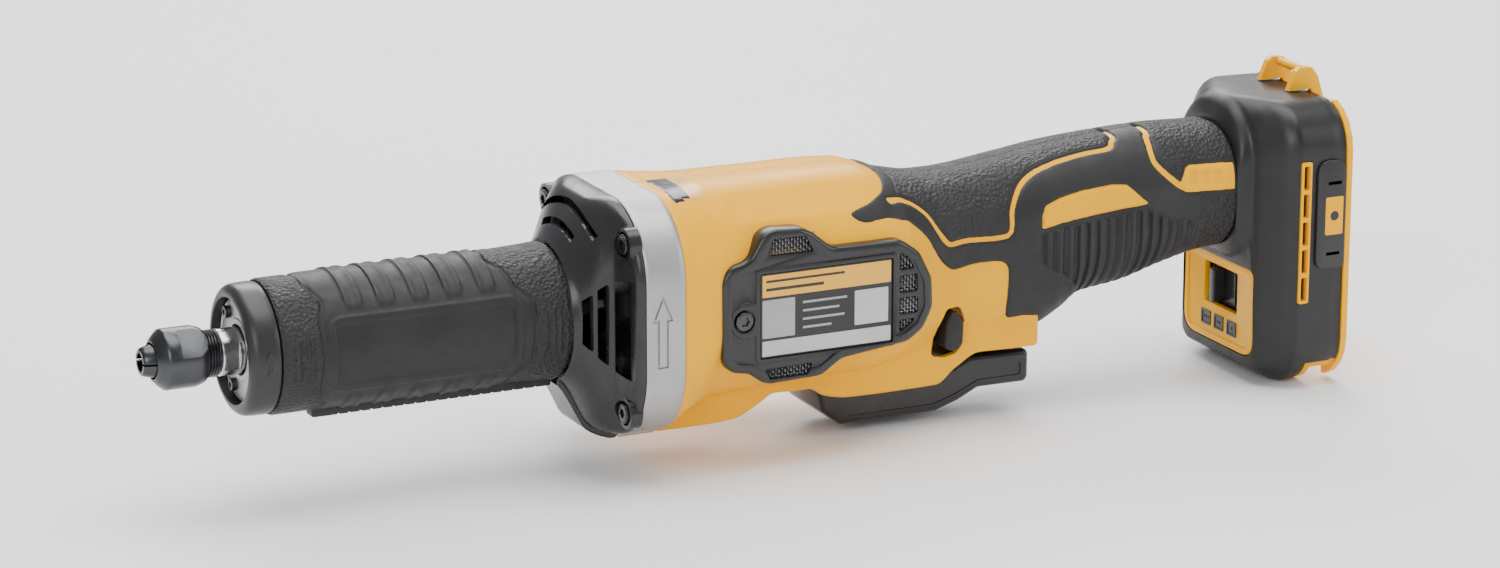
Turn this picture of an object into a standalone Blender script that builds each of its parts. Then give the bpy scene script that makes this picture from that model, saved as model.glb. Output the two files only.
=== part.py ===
"""Cordless die grinder, modelled as separate pieces in millimetres on the spindle axis.

X runs along the spindle from the collet (-X) to the battery foot (+X), Z is up, and the
tool's left side is at -Y. Every piece hangs from one empty, which lifts the tool so that
the foot stands on Z = 0 with the tool's length centred on X = 0.
"""
import math

import bmesh
import bpy
from mathutils import Matrix, Vector

MM = 0.001
GAP = 0.3                      # clearance between neighbouring pieces
WALL = 2.4                     # wall of the moulded housing
SKIN = 2.0                     # thickness of the rubber over the handle
FRONT_X = -42.0                # tip of the collet
REAR_X = 409.6                 # rear edge of the lanyard ears
FOOT_BOTTOM = -56.0            # what the tool stands on, below the spindle axis
ARC_STEPS = 5                  # points in each rounded corner of the housing
ROUND = 24                     # facets of a visible turned piece
ROUND_INNER = 18               # facets of a hidden turned piece

BOOT_END = 104.0
COVER_REAR = 123.2
RING_REAR = 138.0
GRIP_FRONT = 229.0             # where the rubber begins behind the motor hump
SKIRT_REAR = 288.0             # rear end of the switch housing
HANDLE_REAR = 360.0            # where the rubber meets the foot
SHELL_REAR = 377.0
PADDLE_PIVOT = (207.0, 0.0, -37.5)
BUTTON_CENTRE = (251.0, 0.0, -19.5)
SLIDER_CENTRE = (374.0, 3.0, -24.6)
SCREW_CORNER = (33.3, 29.8)    # cover screws, across and up from the axis
SEAM = GAP / 2                 # half the gap between the two housing halves

# Fields of an outline: half width, top, bottom, corner radii, then the keel below it.
# x, half width, top, bottom, upper radius, lower radius, keel half width, keel bottom
MOTOR_HOUSING = (
    (RING_REAR + GAP, 41.7, 41.7, -41.4, 27.0, 27.0, 17.0, -44.0),
    (147.0, 39.5, 41.3, -38.5, 31.0, 30.0, 17.0, -44.2),
    (156.0, 37.2, 41.2, -36.4, 33.0, 33.0, 17.0, -44.2),
    (168.0, 36.8, 41.2, -35.8, 33.0, 33.0, 17.0, -43.8),
    (177.0, 36.6, 41.2, -35.4, 33.0, 33.0, 17.0, -39.8),
    (184.0, 36.5, 41.2, -35.2, 33.0, 33.0, 17.0, -35.9),
    (191.0, 36.4, 41.2, -35.2, 33.0, 33.0, 18.5, -35.9),
)
SWITCH_HOUSING = (
    (196.0, 36.4, 41.2, -35.2, 33.0, 33.0, 20.2, -35.0),
    (202.0, 36.4, 41.2, -35.2, 33.0, 33.0, 20.2, -38.6),
    (211.0, 36.4, 41.1, -35.2, 33.0, 33.0, 20.2, -40.4),
    (220.0, 36.0, 40.8, -34.8, 33.0, 32.0, 20.2, -40.6),
    (GRIP_FRONT - GAP, 34.6, 38.4, -33.5, 30.0, 30.0, 20.2, -40.7),
    (GRIP_FRONT + 0.5, 32.0, 35.6, -32.5, 28.0, 28.0, 20.2, -40.7),
    (237.0, 25.8, 32.3, -30.0, 22.0, 22.0, 20.0, -40.7),
    (246.5, 20.6, 31.0, -30.0, 18.0, 18.0, 19.8, -40.7),
    (254.0, 20.2, 30.8, -28.0, 17.0, 17.0, 19.6, -35.5),
    (264.0, 20.0, 31.4, -26.0, 17.0, 17.0, 19.5, -30.8),
    (280.0, 20.0, 33.4, -25.5, 17.0, 17.0, 19.5, -31.2),
    (287.2, 20.0, 34.3, -25.5, 17.0, 17.0, 19.5, -31.2),
)
HANDLE_CORE = (
    (SKIRT_REAR, 20.0, 34.4, -24.5, 17.0, 15.0, 2.0, -24.5),
    (298.0, 19.8, 35.8, -20.4, 17.0, 16.0, 2.0, -20.4),
    (308.0, 19.6, 36.7, -14.8, 17.0, 17.0, 2.0, -14.8),
    (325.0, 19.4, 37.7, -12.6, 17.0, 17.0, 2.0, -12.6),
    (342.0, 19.2, 38.2, -8.2, 17.0, 17.0, 2.0, -8.2),
    (HANDLE_REAR, 19.6, 37.4, -4.4, 17.0, 17.0, 2.0, -4.4),
    (SHELL_REAR, 19.6, 37.0, -3.6, 17.0, 17.0, 2.0, -3.6),
)
BELOW_SEAT_Z = 8.0             # lower edge of the rubber saddle ahead of the grip
FOOT_OUTLINES = (
    (361.0, 21.8, 40.6, -7.4, 18.0, 15.0, 6.0, -7.4),
    (366.0, 22.2, 45.4, -9.4, 19.0, 14.6, 6.0, -9.4),
    (372.0, 22.8, 49.0, -11.0, 21.0, 14.0, 6.0, -11.0),
    (374.4, 26.0, 49.4, -49.4, 21.0, 5.0, 6.0, -49.4),
    (378.0, 30.6, 49.6, -51.8, 20.0, 10.0, 6.0, -51.8),
    (382.0, 34.8, 49.6, -54.2, 18.0, 15.0, 6.0, -54.2),
    (386.0, 36.4, 49.5, FOOT_BOTTOM, 17.0, 17.0, 6.0, FOOT_BOTTOM),
    (404.0, 36.4, 49.0, FOOT_BOTTOM, 17.0, 17.0, 6.0, FOOT_BOTTOM),
)
# Fan housing: x, half width, height, corner radius, depth of the flat rib underneath
FAN_HOUSING = (
    (BOOT_END + GAP, 24.4, 24.4, 24.2, 0.4),
    (108.0, 25.6, 29.0, 25.0, 1.4),
    (112.0, 26.8, 36.4, 22.0, 2.0),
    (115.6, 28.6, 40.8, 19.0, 2.2),
    (119.2, 36.6, 41.8, 24.0, 2.0),
    (121.4, 41.6, 42.0, 27.0, 2.0),
    (COVER_REAR, 42.0, 42.0, 27.0, 2.0),
)
PADDLE_SIDE = (
    (202.0, -39.6), (204.4, -47.0), (212.0, -52.0), (249.0, -52.0), (258.0, -49.0),
    (265.0, -45.2), (284.6, -45.6), (286.4, -43.6), (286.4, -33.4), (262.0, -33.2),
    (252.0, -37.6), (214.0, -38.0), (211.0, -33.6), (203.6, -33.6),
)
SCREEN_SIDE = (
    (153.6, 13.4), (157.2, 18.8), (164.7, 19.6), (169.0, 28.4), (172.4, 30.0),
    (183.6, 29.2), (187.4, 27.6), (195.2, 20.8), (222.0, 20.6), (229.6, 13.4),
    (234.2, 3.4), (234.6, -6.0), (225.8, -17.0), (199.4, -20.0), (190.4, -24.6),
    (169.8, -25.2), (164.8, -20.8), (157.2, -20.0), (153.7, -13.8),
)


def clear_scene():
    for item in list(bpy.data.objects):
        bpy.data.objects.remove(item, do_unlink=True)


# ---------------------------------------------------------------- materials

def plastic(name, colour, roughness=0.5):
    return surface(name, colour, roughness, 0.0)


def metal(name, colour, roughness=0.3):
    return surface(name, colour, roughness, 1.0)


def surface(name, colour, roughness, metallic):
    """A Principled material; one of each name is made and then shared."""
    found = bpy.data.materials.get(name)
    if found:
        return found
    made = bpy.data.materials.new(name)
    made.use_nodes = True
    shader = made.node_tree.nodes["Principled BSDF"]
    shader.inputs["Base Color"].default_value = (*colour, 1.0)
    shader.inputs["Roughness"].default_value = roughness
    shader.inputs["Metallic"].default_value = metallic
    made.diffuse_color = (*colour, 1.0)
    return made


def yellow():
    return plastic("yellow_plastic", (0.86, 0.52, 0.03), 0.42)


def black():
    return plastic("black_plastic", (0.045, 0.047, 0.05), 0.5)


def rubber():
    return plastic("black_rubber", (0.05, 0.052, 0.055), 0.75)


def steel():
    return metal("polished_steel", (0.62, 0.61, 0.60), 0.22)


def dark_steel():
    return metal("dark_steel", (0.12, 0.12, 0.125), 0.38)


def cast_aluminium():
    return metal("cast_aluminium", (0.68, 0.69, 0.70), 0.42)


def copper():
    return metal("copper", (0.72, 0.36, 0.18), 0.35)


def brass():
    return metal("brass", (0.75, 0.56, 0.25), 0.3)


def circuit():
    return plastic("circuit_board", (0.03, 0.20, 0.10), 0.5)


# ---------------------------------------------------------------- empties

def empty(name, at, parent=None):
    """An empty at a point given in millimetres in its parent's frame."""
    made = bpy.data.objects.new(name, None)
    made.location = Vector(at) * MM
    made.parent = parent
    bpy.context.scene.collection.objects.link(made)
    return made


# ---------------------------------------------------------------- bodies

class Piece:
    """A mesh under construction, in millimetres on the spindle axis."""

    def __init__(self, parent, origin=(0.0, 0.0, 0.0)):
        self.bm = bmesh.new()
        self.parent = parent
        self.origin = Vector(origin)

    def ring(self, points):
        return [self.bm.verts.new(point) for point in points]

    def bridge(self, first, second):
        count = len(first)
        for i in range(count):
            j = (i + 1) % count
            self.bm.faces.new((first[i], first[j], second[j], second[i]))

    def finish(self, name, material):
        """Turns the bmesh into an object whose origin is its joint's point."""
        bmesh.ops.remove_doubles(self.bm, verts=self.bm.verts, dist=1e-4)
        bmesh.ops.recalc_face_normals(self.bm, faces=self.bm.faces)
        bmesh.ops.translate(self.bm, verts=self.bm.verts, vec=-self.origin)
        bmesh.ops.scale(self.bm, verts=self.bm.verts, vec=(MM, MM, MM))
        mesh = bpy.data.meshes.new(name)
        self.bm.to_mesh(mesh)
        self.bm.free()
        mesh.materials.append(material)
        mesh.shade_smooth()
        mesh.set_sharp_from_angle(angle=math.radians(32))
        made = bpy.data.objects.new(name, mesh)
        made.parent = self.parent
        made.location = self.origin * MM
        bpy.context.scene.collection.objects.link(made)
        return made


def turned(parent, name, profile, material, facets=ROUND_INNER):
    """A solid of revolution about X, from (x, radius) points in order."""
    piece = Piece(parent)
    verts = [piece.bm.verts.new((x, 0.0, radius)) for x, radius in profile]
    edges = [piece.bm.edges.new((verts[i - 1], verts[i])) for i in range(1, len(verts))]
    if min(radius for _, radius in profile) > 0.0:
        edges.append(piece.bm.edges.new((verts[-1], verts[0])))
    bmesh.ops.spin(piece.bm, geom=verts + edges, cent=(0, 0, 0), axis=(1, 0, 0),
                   angle=2 * math.pi, steps=facets, use_merge=True)
    return piece.finish(name, material)


def tube(parent, name, x_from, x_to, inner, outer, material, facets=ROUND_INNER):
    profile = ((x_from, inner), (x_from, outer), (x_to, outer), (x_to, inner))
    return turned(parent, name, profile, material, facets)


def prism(parent, name, outline, axis, low, high, material, origin=(0, 0, 0), bevel=0.0):
    """An outline pushed from low to high along an axis; the outline is in the other two."""
    piece = Piece(parent, origin)
    base = piece.bm.faces.new(piece.ring([place(axis, low, point) for point in outline]))
    pushed = bmesh.ops.extrude_face_region(piece.bm, geom=[base])
    moved = [item for item in pushed["geom"] if isinstance(item, bmesh.types.BMVert)]
    bmesh.ops.translate(piece.bm, verts=moved, vec=place(axis, high - low, (0.0, 0.0)))
    if bevel:
        bmesh.ops.bevel(piece.bm, geom=list(piece.bm.edges), offset=bevel, segments=1,
                        affect='EDGES', clamp_overlap=True)
    return piece.finish(name, material)


def place(axis, along, pair):
    """A point from its height along an axis and its pair of other coordinates."""
    first, second = pair
    return {"X": (along, first, second), "Y": (first, along, second),
            "Z": (first, second, along)}[axis]


def rectangle(low, high):
    return ((low[0], low[1]), (high[0], low[1]), (high[0], high[1]), (low[0], high[1]))


def block(parent, name, low, high, material, origin=(0, 0, 0), bevel=0.0):
    outline = rectangle(low[:2], high[:2])
    return prism(parent, name, outline, "Z", low[2], high[2], material, origin, bevel)


def circle(centre, radius, count):
    return [(centre[0] + radius * math.cos(2 * math.pi * i / count),
             centre[1] + radius * math.sin(2 * math.pi * i / count)) for i in range(count)]


def rod(parent, name, axis, centre, radius, low, high, material, facets=14, origin=(0, 0, 0)):
    return prism(parent, name, circle(centre, radius, facets), axis, low, high, material, origin)


def combine(body, others, operation):
    """Cuts or joins helper objects, which stay out of the model themselves."""
    for other in others:
        step = body.modifiers.new(other.name, 'BOOLEAN')
        step.operation = operation
        step.object = other
        step.solver = 'EXACT'
        other.hide_render = True
        other.display_type = 'WIRE'
    return body


def cut(body, *cutters):
    return combine(body, cutters, 'DIFFERENCE')


def join(body, *additions):
    return combine(body, additions, 'UNION')


# ---------------------------------------------------------------- housing outlines

def half_outline(width, top, bottom, upper, lower, keel, keel_bottom, start, end):
    """Right half of a section, (y, z) points from the top seam to the lower edge."""
    points = [(start, top)]
    for i in range(ARC_STEPS + 1):
        turn = math.radians(90 - 90 * i / ARC_STEPS)
        points.append((width - upper + upper * math.cos(turn), top - upper + upper * math.sin(turn)))
    reach = math.acos(max(0.0, min(1.0, (keel - width + lower) / lower)))
    for i in range(ARC_STEPS + 1):
        turn = -reach * i / ARC_STEPS
        points.append((width - lower + lower * math.cos(turn), bottom + lower + lower * math.sin(turn)))
    chamfer = min(2.0, (keel - end) / 2)
    points.append((keel, keel_bottom + min(0.4, 0.5 * (points[-1][1] - keel_bottom))))
    points.append((keel - chamfer, keel_bottom))
    points.append((end, keel_bottom))
    return points


def full_outline(station, shrink=0.0):
    """Whole section as (y, z) points, drawn in by a distance on every side."""
    _, width, top, bottom, upper, lower, keel, keel_bottom = station
    half = half_outline(width - shrink, top - shrink, bottom + shrink, upper - shrink,
                        lower - shrink, keel - shrink * 0.5, keel_bottom + shrink, 0.0, 0.0)
    return half + [(-y, z) for y, z in half[-2:0:-1]]


def shell_section(station, thickness, is_open, side):
    """C-shaped section of one housing half: out along the outside, back along the inside."""
    _, width, top, bottom, upper, lower, keel, keel_bottom = station
    outer_end = keel - 0.4 if is_open else SEAM
    inner_end = keel - thickness + 0.4 if is_open else SEAM
    inner_drop = 0.0 if is_open else thickness
    outer = half_outline(width, top, bottom, upper, lower, keel, keel_bottom, SEAM, outer_end)
    inner_keel = keel - thickness if keel > thickness * 2 else keel
    inner = half_outline(width - thickness, top - thickness, bottom + thickness,
                         upper - thickness, lower - thickness, inner_keel,
                         keel_bottom + inner_drop, SEAM, inner_end)
    return [(side * y, z) for y, z in outer + inner[::-1]]


def lofted_half(parent, name, stations, side, material):
    """One half of the clamshell, from (station, is open underneath) pairs."""
    piece = Piece(parent)
    rings = []
    for station, is_open in stations:
        section = shell_section(station, WALL, is_open, side)
        rings.append(piece.ring([(station[0], y, z) for y, z in section]))
    for first, second in zip(rings, rings[1:]):
        piece.bridge(first, second)
    close_ends(piece, rings)
    return piece.finish(name, material)


def lofted_loops(parent, name, loops, material):
    """A body whose skin runs through closed loops and back to the first one."""
    piece = Piece(parent)
    rings = [piece.ring([(x, y, z) for y, z in points]) for x, points in loops]
    for first, second in zip(rings, rings[1:] + rings[:1]):
        piece.bridge(first, second)
    return piece.finish(name, material)


def lofted_solid(parent, name, loops, material):
    piece = Piece(parent)
    rings = [piece.ring([(x, y, z) for y, z in points]) for x, points in loops]
    for first, second in zip(rings, rings[1:]):
        piece.bridge(first, second)
    piece.bm.faces.new(rings[0])
    piece.bm.faces.new(rings[-1])
    return piece.finish(name, material)


def round_like(points, radius):
    """A circle with as many points as an outline, each in the direction of the outline's point."""
    return [(radius * y / math.hypot(y, z), radius * z / math.hypot(y, z)) for y, z in points]


def housing_stations():
    closed = [(station, False) for station in MOTOR_HOUSING]
    opened = [(station, True) for station in SWITCH_HOUSING]
    return closed + opened + [(station, False) for station in HANDLE_CORE]


# ---------------------------------------------------------------- nose and spindle

def make_spindle(tool):
    thread = [(-30.2, 8.15), (-20.6, 8.15)]
    for ridge in range(3):
        start = -20.2 + 1.5 * ridge
        thread += [(start, 7.5), (start + 0.5, 8.15), (start + 1.1, 8.15)]
    profile = [(-31.0, 6.6), (-31.0, 7.4)] + thread
    profile += [(-15.8, 7.6), (-15.6, 8.0), (-6.0, 8.0), (-6.0, 7.2), (8.0, 7.2), (8.0, 6.4), (88.0, 6.4),
                (88.0, 4.7), (99.0, 4.7), (99.0, 3.6), (108.0, 3.6), (108.0, 2.0), (60.0, 2.0),
                (-12.0, 2.6), (-12.0, 4.6)]
    body = turned(tool, "spindle", profile, steel(), 20)
    flats = [block(tool, "spindle_flat_%d" % side, (-15.0, min(side * 6.5, side * 12.0), -12.0),
                   (-9.0, max(side * 6.5, side * 12.0), 12.0), steel()) for side in (-1, 1)]
    return cut(body, *flats)


def make_collet(tool):
    profile = ((-42.0, 3.1), (-42.0, 4.4), (-40.6, 5.0), (-37.6, 5.8), (-35.4, 5.8),
               (-34.6, 6.9), (-32.0, 6.9), (-31.3, 6.2), (-14.0, 4.2), (-13.0, 4.0), (-13.0, 3.1))
    body = turned(tool, "collet", profile, dark_steel(), 20)
    slits = [block(tool, "collet_slit_a", (-50.0, -9.0, -0.3), (-20.0, 9.0, 0.3), steel()),
             block(tool, "collet_slit_b", (-50.0, -0.3, -9.0), (-20.0, 0.3, 9.0), steel())]
    return cut(body, *slits)


def make_collet_nut(tool):
    profile = ((-38.0, 6.2), (-38.0, 6.8), (-34.4, 10.45), (-23.6, 10.45), (-20.8, 9.4),
               (-20.8, 8.5), (-31.6, 8.5), (-31.6, 7.3), (-34.9, 7.3), (-35.7, 6.2))
    body = turned(tool, "collet_nut", profile, dark_steel(), ROUND)
    flats = []
    for i in range(2):
        turn = Matrix.Rotation(math.radians(45 + 180 * i), 4, 'X')
        flat = block(tool, "nut_flat_%d" % i, (-30.0, -12.0, 8.9), (-22.0, 12.0, 14.0), steel())
        flat.matrix_local = turn
        flats.append(flat)
    return cut(body, *flats)


def make_bearing(name, fixed, turning, x_from, x_to, bore, outside, split):
    """A sealed ball bearing as its outer and inner races with the running gap between."""
    middle = (bore + outside) / 2
    if split:
        tube(turning, name + "_inner_race", x_from, x_to, bore, middle - 0.2, steel())
        tube(fixed, name + "_outer_race", x_from, x_to, middle + 0.2, outside, steel())
    else:
        tube(fixed, name, x_from, x_to, bore, outside, steel())


def make_nose(tool):
    cap = ((-GAP, 22.2), (-2.2, 22.6), (-7.6, 22.3), (-9.8, 21.0), (-10.6, 19.6), (-10.6, 18.3),
           (-8.2, 18.1), (-GAP, 18.1))
    turned(tool, "nose_cap", cap, black(), ROUND)
    barrel = ((-4.8, 16.3), (-4.8, 17.8), (-GAP, 17.8), (GAP, 18.8), (104.4, 18.8), (104.4, 20.8),
              (109.0, 20.8), (109.0, 11.0), (101.0, 11.0), (101.0, 13.3), (91.6, 13.3), (91.6, 12.0),
              (5.0, 12.0), (5.0, 16.3))
    turned(tool, "nose_tube", barrel, cast_aluminium(), 22)
    boot = ((GAP, 19.1), (GAP, 22.6), (1.4, 23.2), (14.0, 23.2), (15.0, 23.6), (84.0, 23.7),
            (85.0, 23.4), (102.6, 24.2), (BOOT_END, 23.6), (BOOT_END, 19.1))
    sleeve = turned(tool, "grip_sleeve", boot, rubber(), 32)
    rib = block(tool, "sleeve_rib", (16.0, -8.5, -24.7), (102.4, 8.5, -21.0), rubber())
    join(sleeve, rib)
    plate = tube(tool, "bearing_retainer", -7.6, -5.2, 8.6, 17.6, steel(), 24)
    for i in range(3):
        turn = math.radians(50 + 120 * i)
        centre = (14.2 * math.cos(turn), 14.2 * math.sin(turn))
        cut(plate, rod(tool, "retainer_hole_%d" % i, "X", centre, 1.6, -9.0, -4.0, steel(), 10))
        screw = rod(tool, "retainer_screw_%d" % (i + 1), "X", centre, 2.2, -9.2, -7.9, dark_steel(), 12)
        join(screw, rod(tool, "retainer_shank_%d" % i, "X", centre, 1.2, -8.5, -5.2, dark_steel(), 8))


# ---------------------------------------------------------------- fan housing

def cover_station(x, width, height, radius, rib):
    """A rounded square with the flat rib along its underside."""
    return (x, width, height, -height, radius, radius, width * 0.4, -height - rib)


def make_front_cover(tool):
    outside = [cover_station(*fields) for fields in FAN_HOUSING]
    loops = [(station[0], full_outline(station)) for station in outside]
    loops += [(station[0] + 0.3, full_outline(station, 3.0)) for station in outside[:2:-1]]
    loops[len(outside)] = (COVER_REAR, full_outline(outside[-1], 3.0))
    neck = full_outline(outside[0])
    loops += [(112.6, round_like(neck, 22.4)), (BOOT_END + GAP, round_like(neck, 22.4))]
    body = lofted_loops(tool, "front_cover", loops, black())
    for i, (across, up) in enumerate(corners()):
        lug = rod(tool, "cover_lug_%d" % i, "X", (across, up), 5.6, 118.6, COVER_REAR, black(), 14)
        join(body, lug)
    for i, (across, up) in enumerate(corners()):
        pocket = rod(tool, "cover_pocket_%d" % i, "X", (across, up), 4.3, 100.0, 120.6, black(), 14)
        hole = rod(tool, "cover_hole_%d" % i, "X", (across, up), 2.2, 119.0, 126.0, black(), 10)
        cut(body, pocket, hole)
    for side in (-1, 1):
        for i in range(3):
            x_from = 113.4 + 2.5 * i
            tall = 10.0 + 3.0 * i
            low, high = sorted((side * 23.6, side * 48.0))
            slot = block(tool, "cover_vent_%d_%d" % (side, i), (x_from, low, -tall),
                         (x_from + 1.7, high, tall), black())
            cut(body, slot)
    for i in range(2):
        x_from = 108.8 + 3.4 * i
        cut(body, block(tool, "cover_top_vent_%d" % i, (x_from, -13.0, 25.0), (x_from + 2.0, 13.0, 48.0),
                        black()))
    return body


def corners():
    across, up = SCREW_CORNER
    return [(sign_y * across, sign_z * up) for sign_y in (-1, 1) for sign_z in (-1, 1)]


def make_cover_screws(tool):
    for i, (across, up) in enumerate(corners()):
        head = rod(tool, "cover_screw_%d" % (i + 1), "X", (across, up), 3.6, 117.8, 120.3, dark_steel(), 12)
        join(head, rod(tool, "cover_shank_%d" % i, "X", (across, up), 1.8, 119.4, 136.0, dark_steel(), 8))


def make_bearing_plate(tool):
    """The aluminium ring between cover and housing, with its web around the motor bearing."""
    front = full_outline(cover_station(COVER_REAR + GAP, 42.0, 42.0, 27.0, 2.0))
    hub = full_outline(cover_station(COVER_REAR + GAP, 20.0, 20.0, 19.8, 0.4))
    loops = [(COVER_REAR + GAP, front), (RING_REAR, front), (RING_REAR, round_like(hub, 12.0)),
             (131.0, round_like(hub, 12.0)), (131.0, round_like(hub, 14.6)),
             (134.6, round_like(hub, 15.4)), (134.6, round_like(front, 36.0)),
             (COVER_REAR + GAP, round_like(front, 37.4))]
    body = lofted_loops(tool, "bearing_plate", loops, cast_aluminium())
    for i, (across, up) in enumerate(corners()):
        cut(body, rod(tool, "plate_hole_%d" % i, "X", (across, up), 2.2, 120.0, 142.0, steel(), 10))
    return body


def make_fan(turning):
    """A disc with straight blades raised from every third sector."""
    piece = Piece(turning)
    sectors = 27
    radii = (8.0, 14.0, 33.0)
    grid = [[piece.ring([(x, radius * math.cos(turn), radius * math.sin(turn))
                         for turn in [2 * math.pi * i / sectors for i in range(sectors)]])
             for radius in radii] for x in (129.0, 127.0)]
    piece.bridge(grid[0][0], grid[1][0])
    piece.bridge(grid[0][2], grid[1][2])
    for layer in grid:
        piece.bridge(layer[0], layer[1])
    piece.bridge(grid[0][1], grid[0][2])
    blades = []
    for i in range(sectors):
        j = (i + 1) % sectors
        face = piece.bm.faces.new((grid[1][1][i], grid[1][1][j], grid[1][2][j], grid[1][2][i]))
        if i % 3 == 0:
            blades.append(face)
    for face in blades:
        raised = bmesh.ops.extrude_discrete_faces(piece.bm, faces=[face])["faces"][0]
        bmesh.ops.translate(piece.bm, verts=raised.verts, vec=(-7.0, 0.0, 0.0))
        weld_walls(piece.bm, raised)
    return piece.finish("cooling_fan", black())


def weld_walls(bm, raised):
    """Walls between a raised blade face and the disc that it left."""
    for edge in raised.edges:
        if len(edge.link_faces) == 1:
            first, second = edge.verts
            lower = [bm.verts.new(vert.co + Vector((7.0, 0.0, 0.0))) for vert in (first, second)]
            bm.faces.new((first, second, lower[1], lower[0]))


def make_motor(tool, turning):
    turned(turning, "rotor_shaft", ((109.0, 0.0), (109.0, 4.0), (229.0, 4.0), (229.0, 0.0)), steel())
    tube(turning, "drive_coupling", 110.0, 118.6, 4.3, 7.7, steel())
    tube(turning, "rotor_core", 162.0, 194.0, 4.3, 14.0, dark_steel(), 20)
    tube(tool, "stator_core", 163.0, 193.0, 14.6, 27.0, dark_steel(), 24)
    tube(tool, "front_winding", 155.5, 162.7, 15.6, 24.5, copper(), 20)
    tube(tool, "rear_winding", 193.3, 200.5, 15.6, 24.5, copper(), 20)
    tube(tool, "sensor_board", 203.0, 204.6, 9.0, 26.0, circuit(), 20)
    make_bearing("motor_front_bearing", tool, turning, 131.6, 137.6, 4.3, 11.0, False)
    make_bearing("motor_rear_bearing", tool, turning, 220.0, 226.0, 4.3, 11.0, False)
    cap = ((215.0, 5.0), (215.0, 28.4), (218.6, 28.4), (218.6, 14.0), (228.0, 14.0), (228.0, 11.3),
           (219.6, 11.3), (219.6, 5.0))
    turned(tool, "motor_end_cap", cap, black(), 20)


# ---------------------------------------------------------------- housing halves

def make_housing(tool):
    for side, name in ((-1, "housing_left"), (1, "housing_right")):
        half = lofted_half(tool, name, housing_stations(), side, yellow())
        low, high = sorted((side * 10.0, side * 40.0))
        across, _, up = BUTTON_CENTRE
        hole = block(tool, name + "_button_hole", (across - 4.3, low, up - 8.3),
                     (across + 4.3, high, up + 8.3), yellow())
        intake = block(tool, name + "_intake", (174.0, low, -22.0), (212.0, high, 22.0), yellow())
        low, high = sorted((side * 14.0, side * 19.3))
        pin_seat = rod(tool, name + "_pin_seat", "Y", (PADDLE_PIVOT[0], PADDLE_PIVOT[2]), 2.1, low, high,
                       yellow(), 12)
        cut(half, hole, intake, pin_seat)


def make_grip(tool):
    """Rubber over the handle: a saddle ahead of the grip, joined to a full sleeve."""
    saddle = [(s[0], s) for s in SWITCH_HOUSING if s[0] > GRIP_FRONT]
    saddle.append((SKIRT_REAR + 1.2, HANDLE_CORE[0]))
    sleeve = [(s[0], s) for s in HANDLE_CORE if s[0] <= HANDLE_REAR]
    sleeve[0] = (SKIRT_REAR + GAP, HANDLE_CORE[0])
    for side, name in ((-1, "handle_grip_left"), (1, "handle_grip_right")):
        grip = lofted_skin(tool, name, sleeve, side, False)
        join(grip, lofted_skin(tool, name + "_saddle", saddle, side, True))


def lofted_skin(parent, name, stations, side, ahead):
    piece = Piece(parent)
    rings = [piece.ring([(x, side * y, z) for y, z in skin_section(station, ahead)])
             for x, station in stations]
    for first, second in zip(rings, rings[1:]):
        piece.bridge(first, second)
    close_ends(piece, rings)
    return piece.finish(name, rubber())


def close_ends(piece, rings):
    """Fills both ends of a C-shaped loft with quads from its outside to its inside."""
    for end in (rings[0], rings[-1]):
        half = len(end) // 2
        for i in range(half - 1):
            piece.bm.faces.new((end[i], end[i + 1], end[-2 - i], end[-1 - i]))


def skin_section(station, ahead):
    """Half section of the rubber; ahead of the grip it stops at the saddle's edge."""
    _, width, top, bottom, upper, lower, keel, keel_bottom = station
    chains = []
    for proud in (GAP + SKIN, GAP):
        chain = half_outline(width + proud, top + proud, bottom - proud, upper + proud,
                             lower + proud, keel, keel_bottom - proud, SEAM, SEAM)
        if ahead:
            upper_part = [point for point in chain[:ARC_STEPS + 2]]
            rest = len(chain) - len(upper_part)
            last = upper_part[-1]
            drop = (last[1] - BELOW_SEAT_Z) / rest
            chain = upper_part + [(last[0], last[1] - drop * (i + 1)) for i in range(rest)]
        chains.append(chain)
    return chains[0] + chains[1][::-1]


# ---------------------------------------------------------------- dust screens

def make_screens(tool):
    """Side intake screens whose backs follow the housing behind them."""
    stations = [s for s in MOTOR_HOUSING + SWITCH_HOUSING if s[0] < GRIP_FRONT + 20]
    loops = [(s[0], full_outline(s, -GAP if s[0] < GRIP_FRONT else -2 * GAP - SKIN)) for s in stations]
    seat = lofted_solid(tool, "screen_seat", loops, black())
    seat.hide_render = True
    for side, word in ((-1, "left"), (1, "right")):
        face = side * 38.8
        back = side * 25.0
        low, high = sorted((back, face))
        frame = prism(tool, "dust_screen_" + word, SCREEN_SIDE, "Y", low, high, black())
        low, high = sorted((side * 37.6, side * 41.0))
        recess = block(tool, "label_recess_" + word, (167.6, low, -15.8), (218.8, high, 14.6), black())
        seat_of_screw = rod(tool, "screw_recess_" + word, "Y", (161.6, -1.4), 4.0, low, high, black(), 12)
        cut(frame, seat, recess, seat_of_screw)
        for i in range(4):
            low, high = sorted((side * 30.0, side * 41.0))
            x_from = 171.4 + 3.9 * i
            cut(frame, block(tool, "upper_mesh_%s_%d" % (word, i), (x_from, low, 18.6),
                             (x_from + 2.6, high, 25.6), black()))
            cut(frame, block(tool, "lower_mesh_%s_%d" % (word, i), (x_from, low, -22.8),
                             (x_from + 2.6, high, -17.6), black()))
        for i in range(5):
            low, high = sorted((side * 20.0, side * 41.0))
            up = -13.0 + 5.4 * i
            cut(frame, block(tool, "rear_mesh_%s_%d" % (word, i), (221.6, low, up), (228.6, high, up + 3.4),
                             black()))
        low, high = sorted((side * 37.9, side * 39.0))
        block(tool, "label_plate_" + word, (168.0, low, -15.4), (218.4, high, 14.2),
              plastic("label", (0.42, 0.43, 0.44), 0.4))
        rod(tool, "screen_screw_" + word, "Y", (161.6, -1.4), 3.3, low, high, dark_steel(), 14)


# ---------------------------------------------------------------- switch and controls

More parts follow.
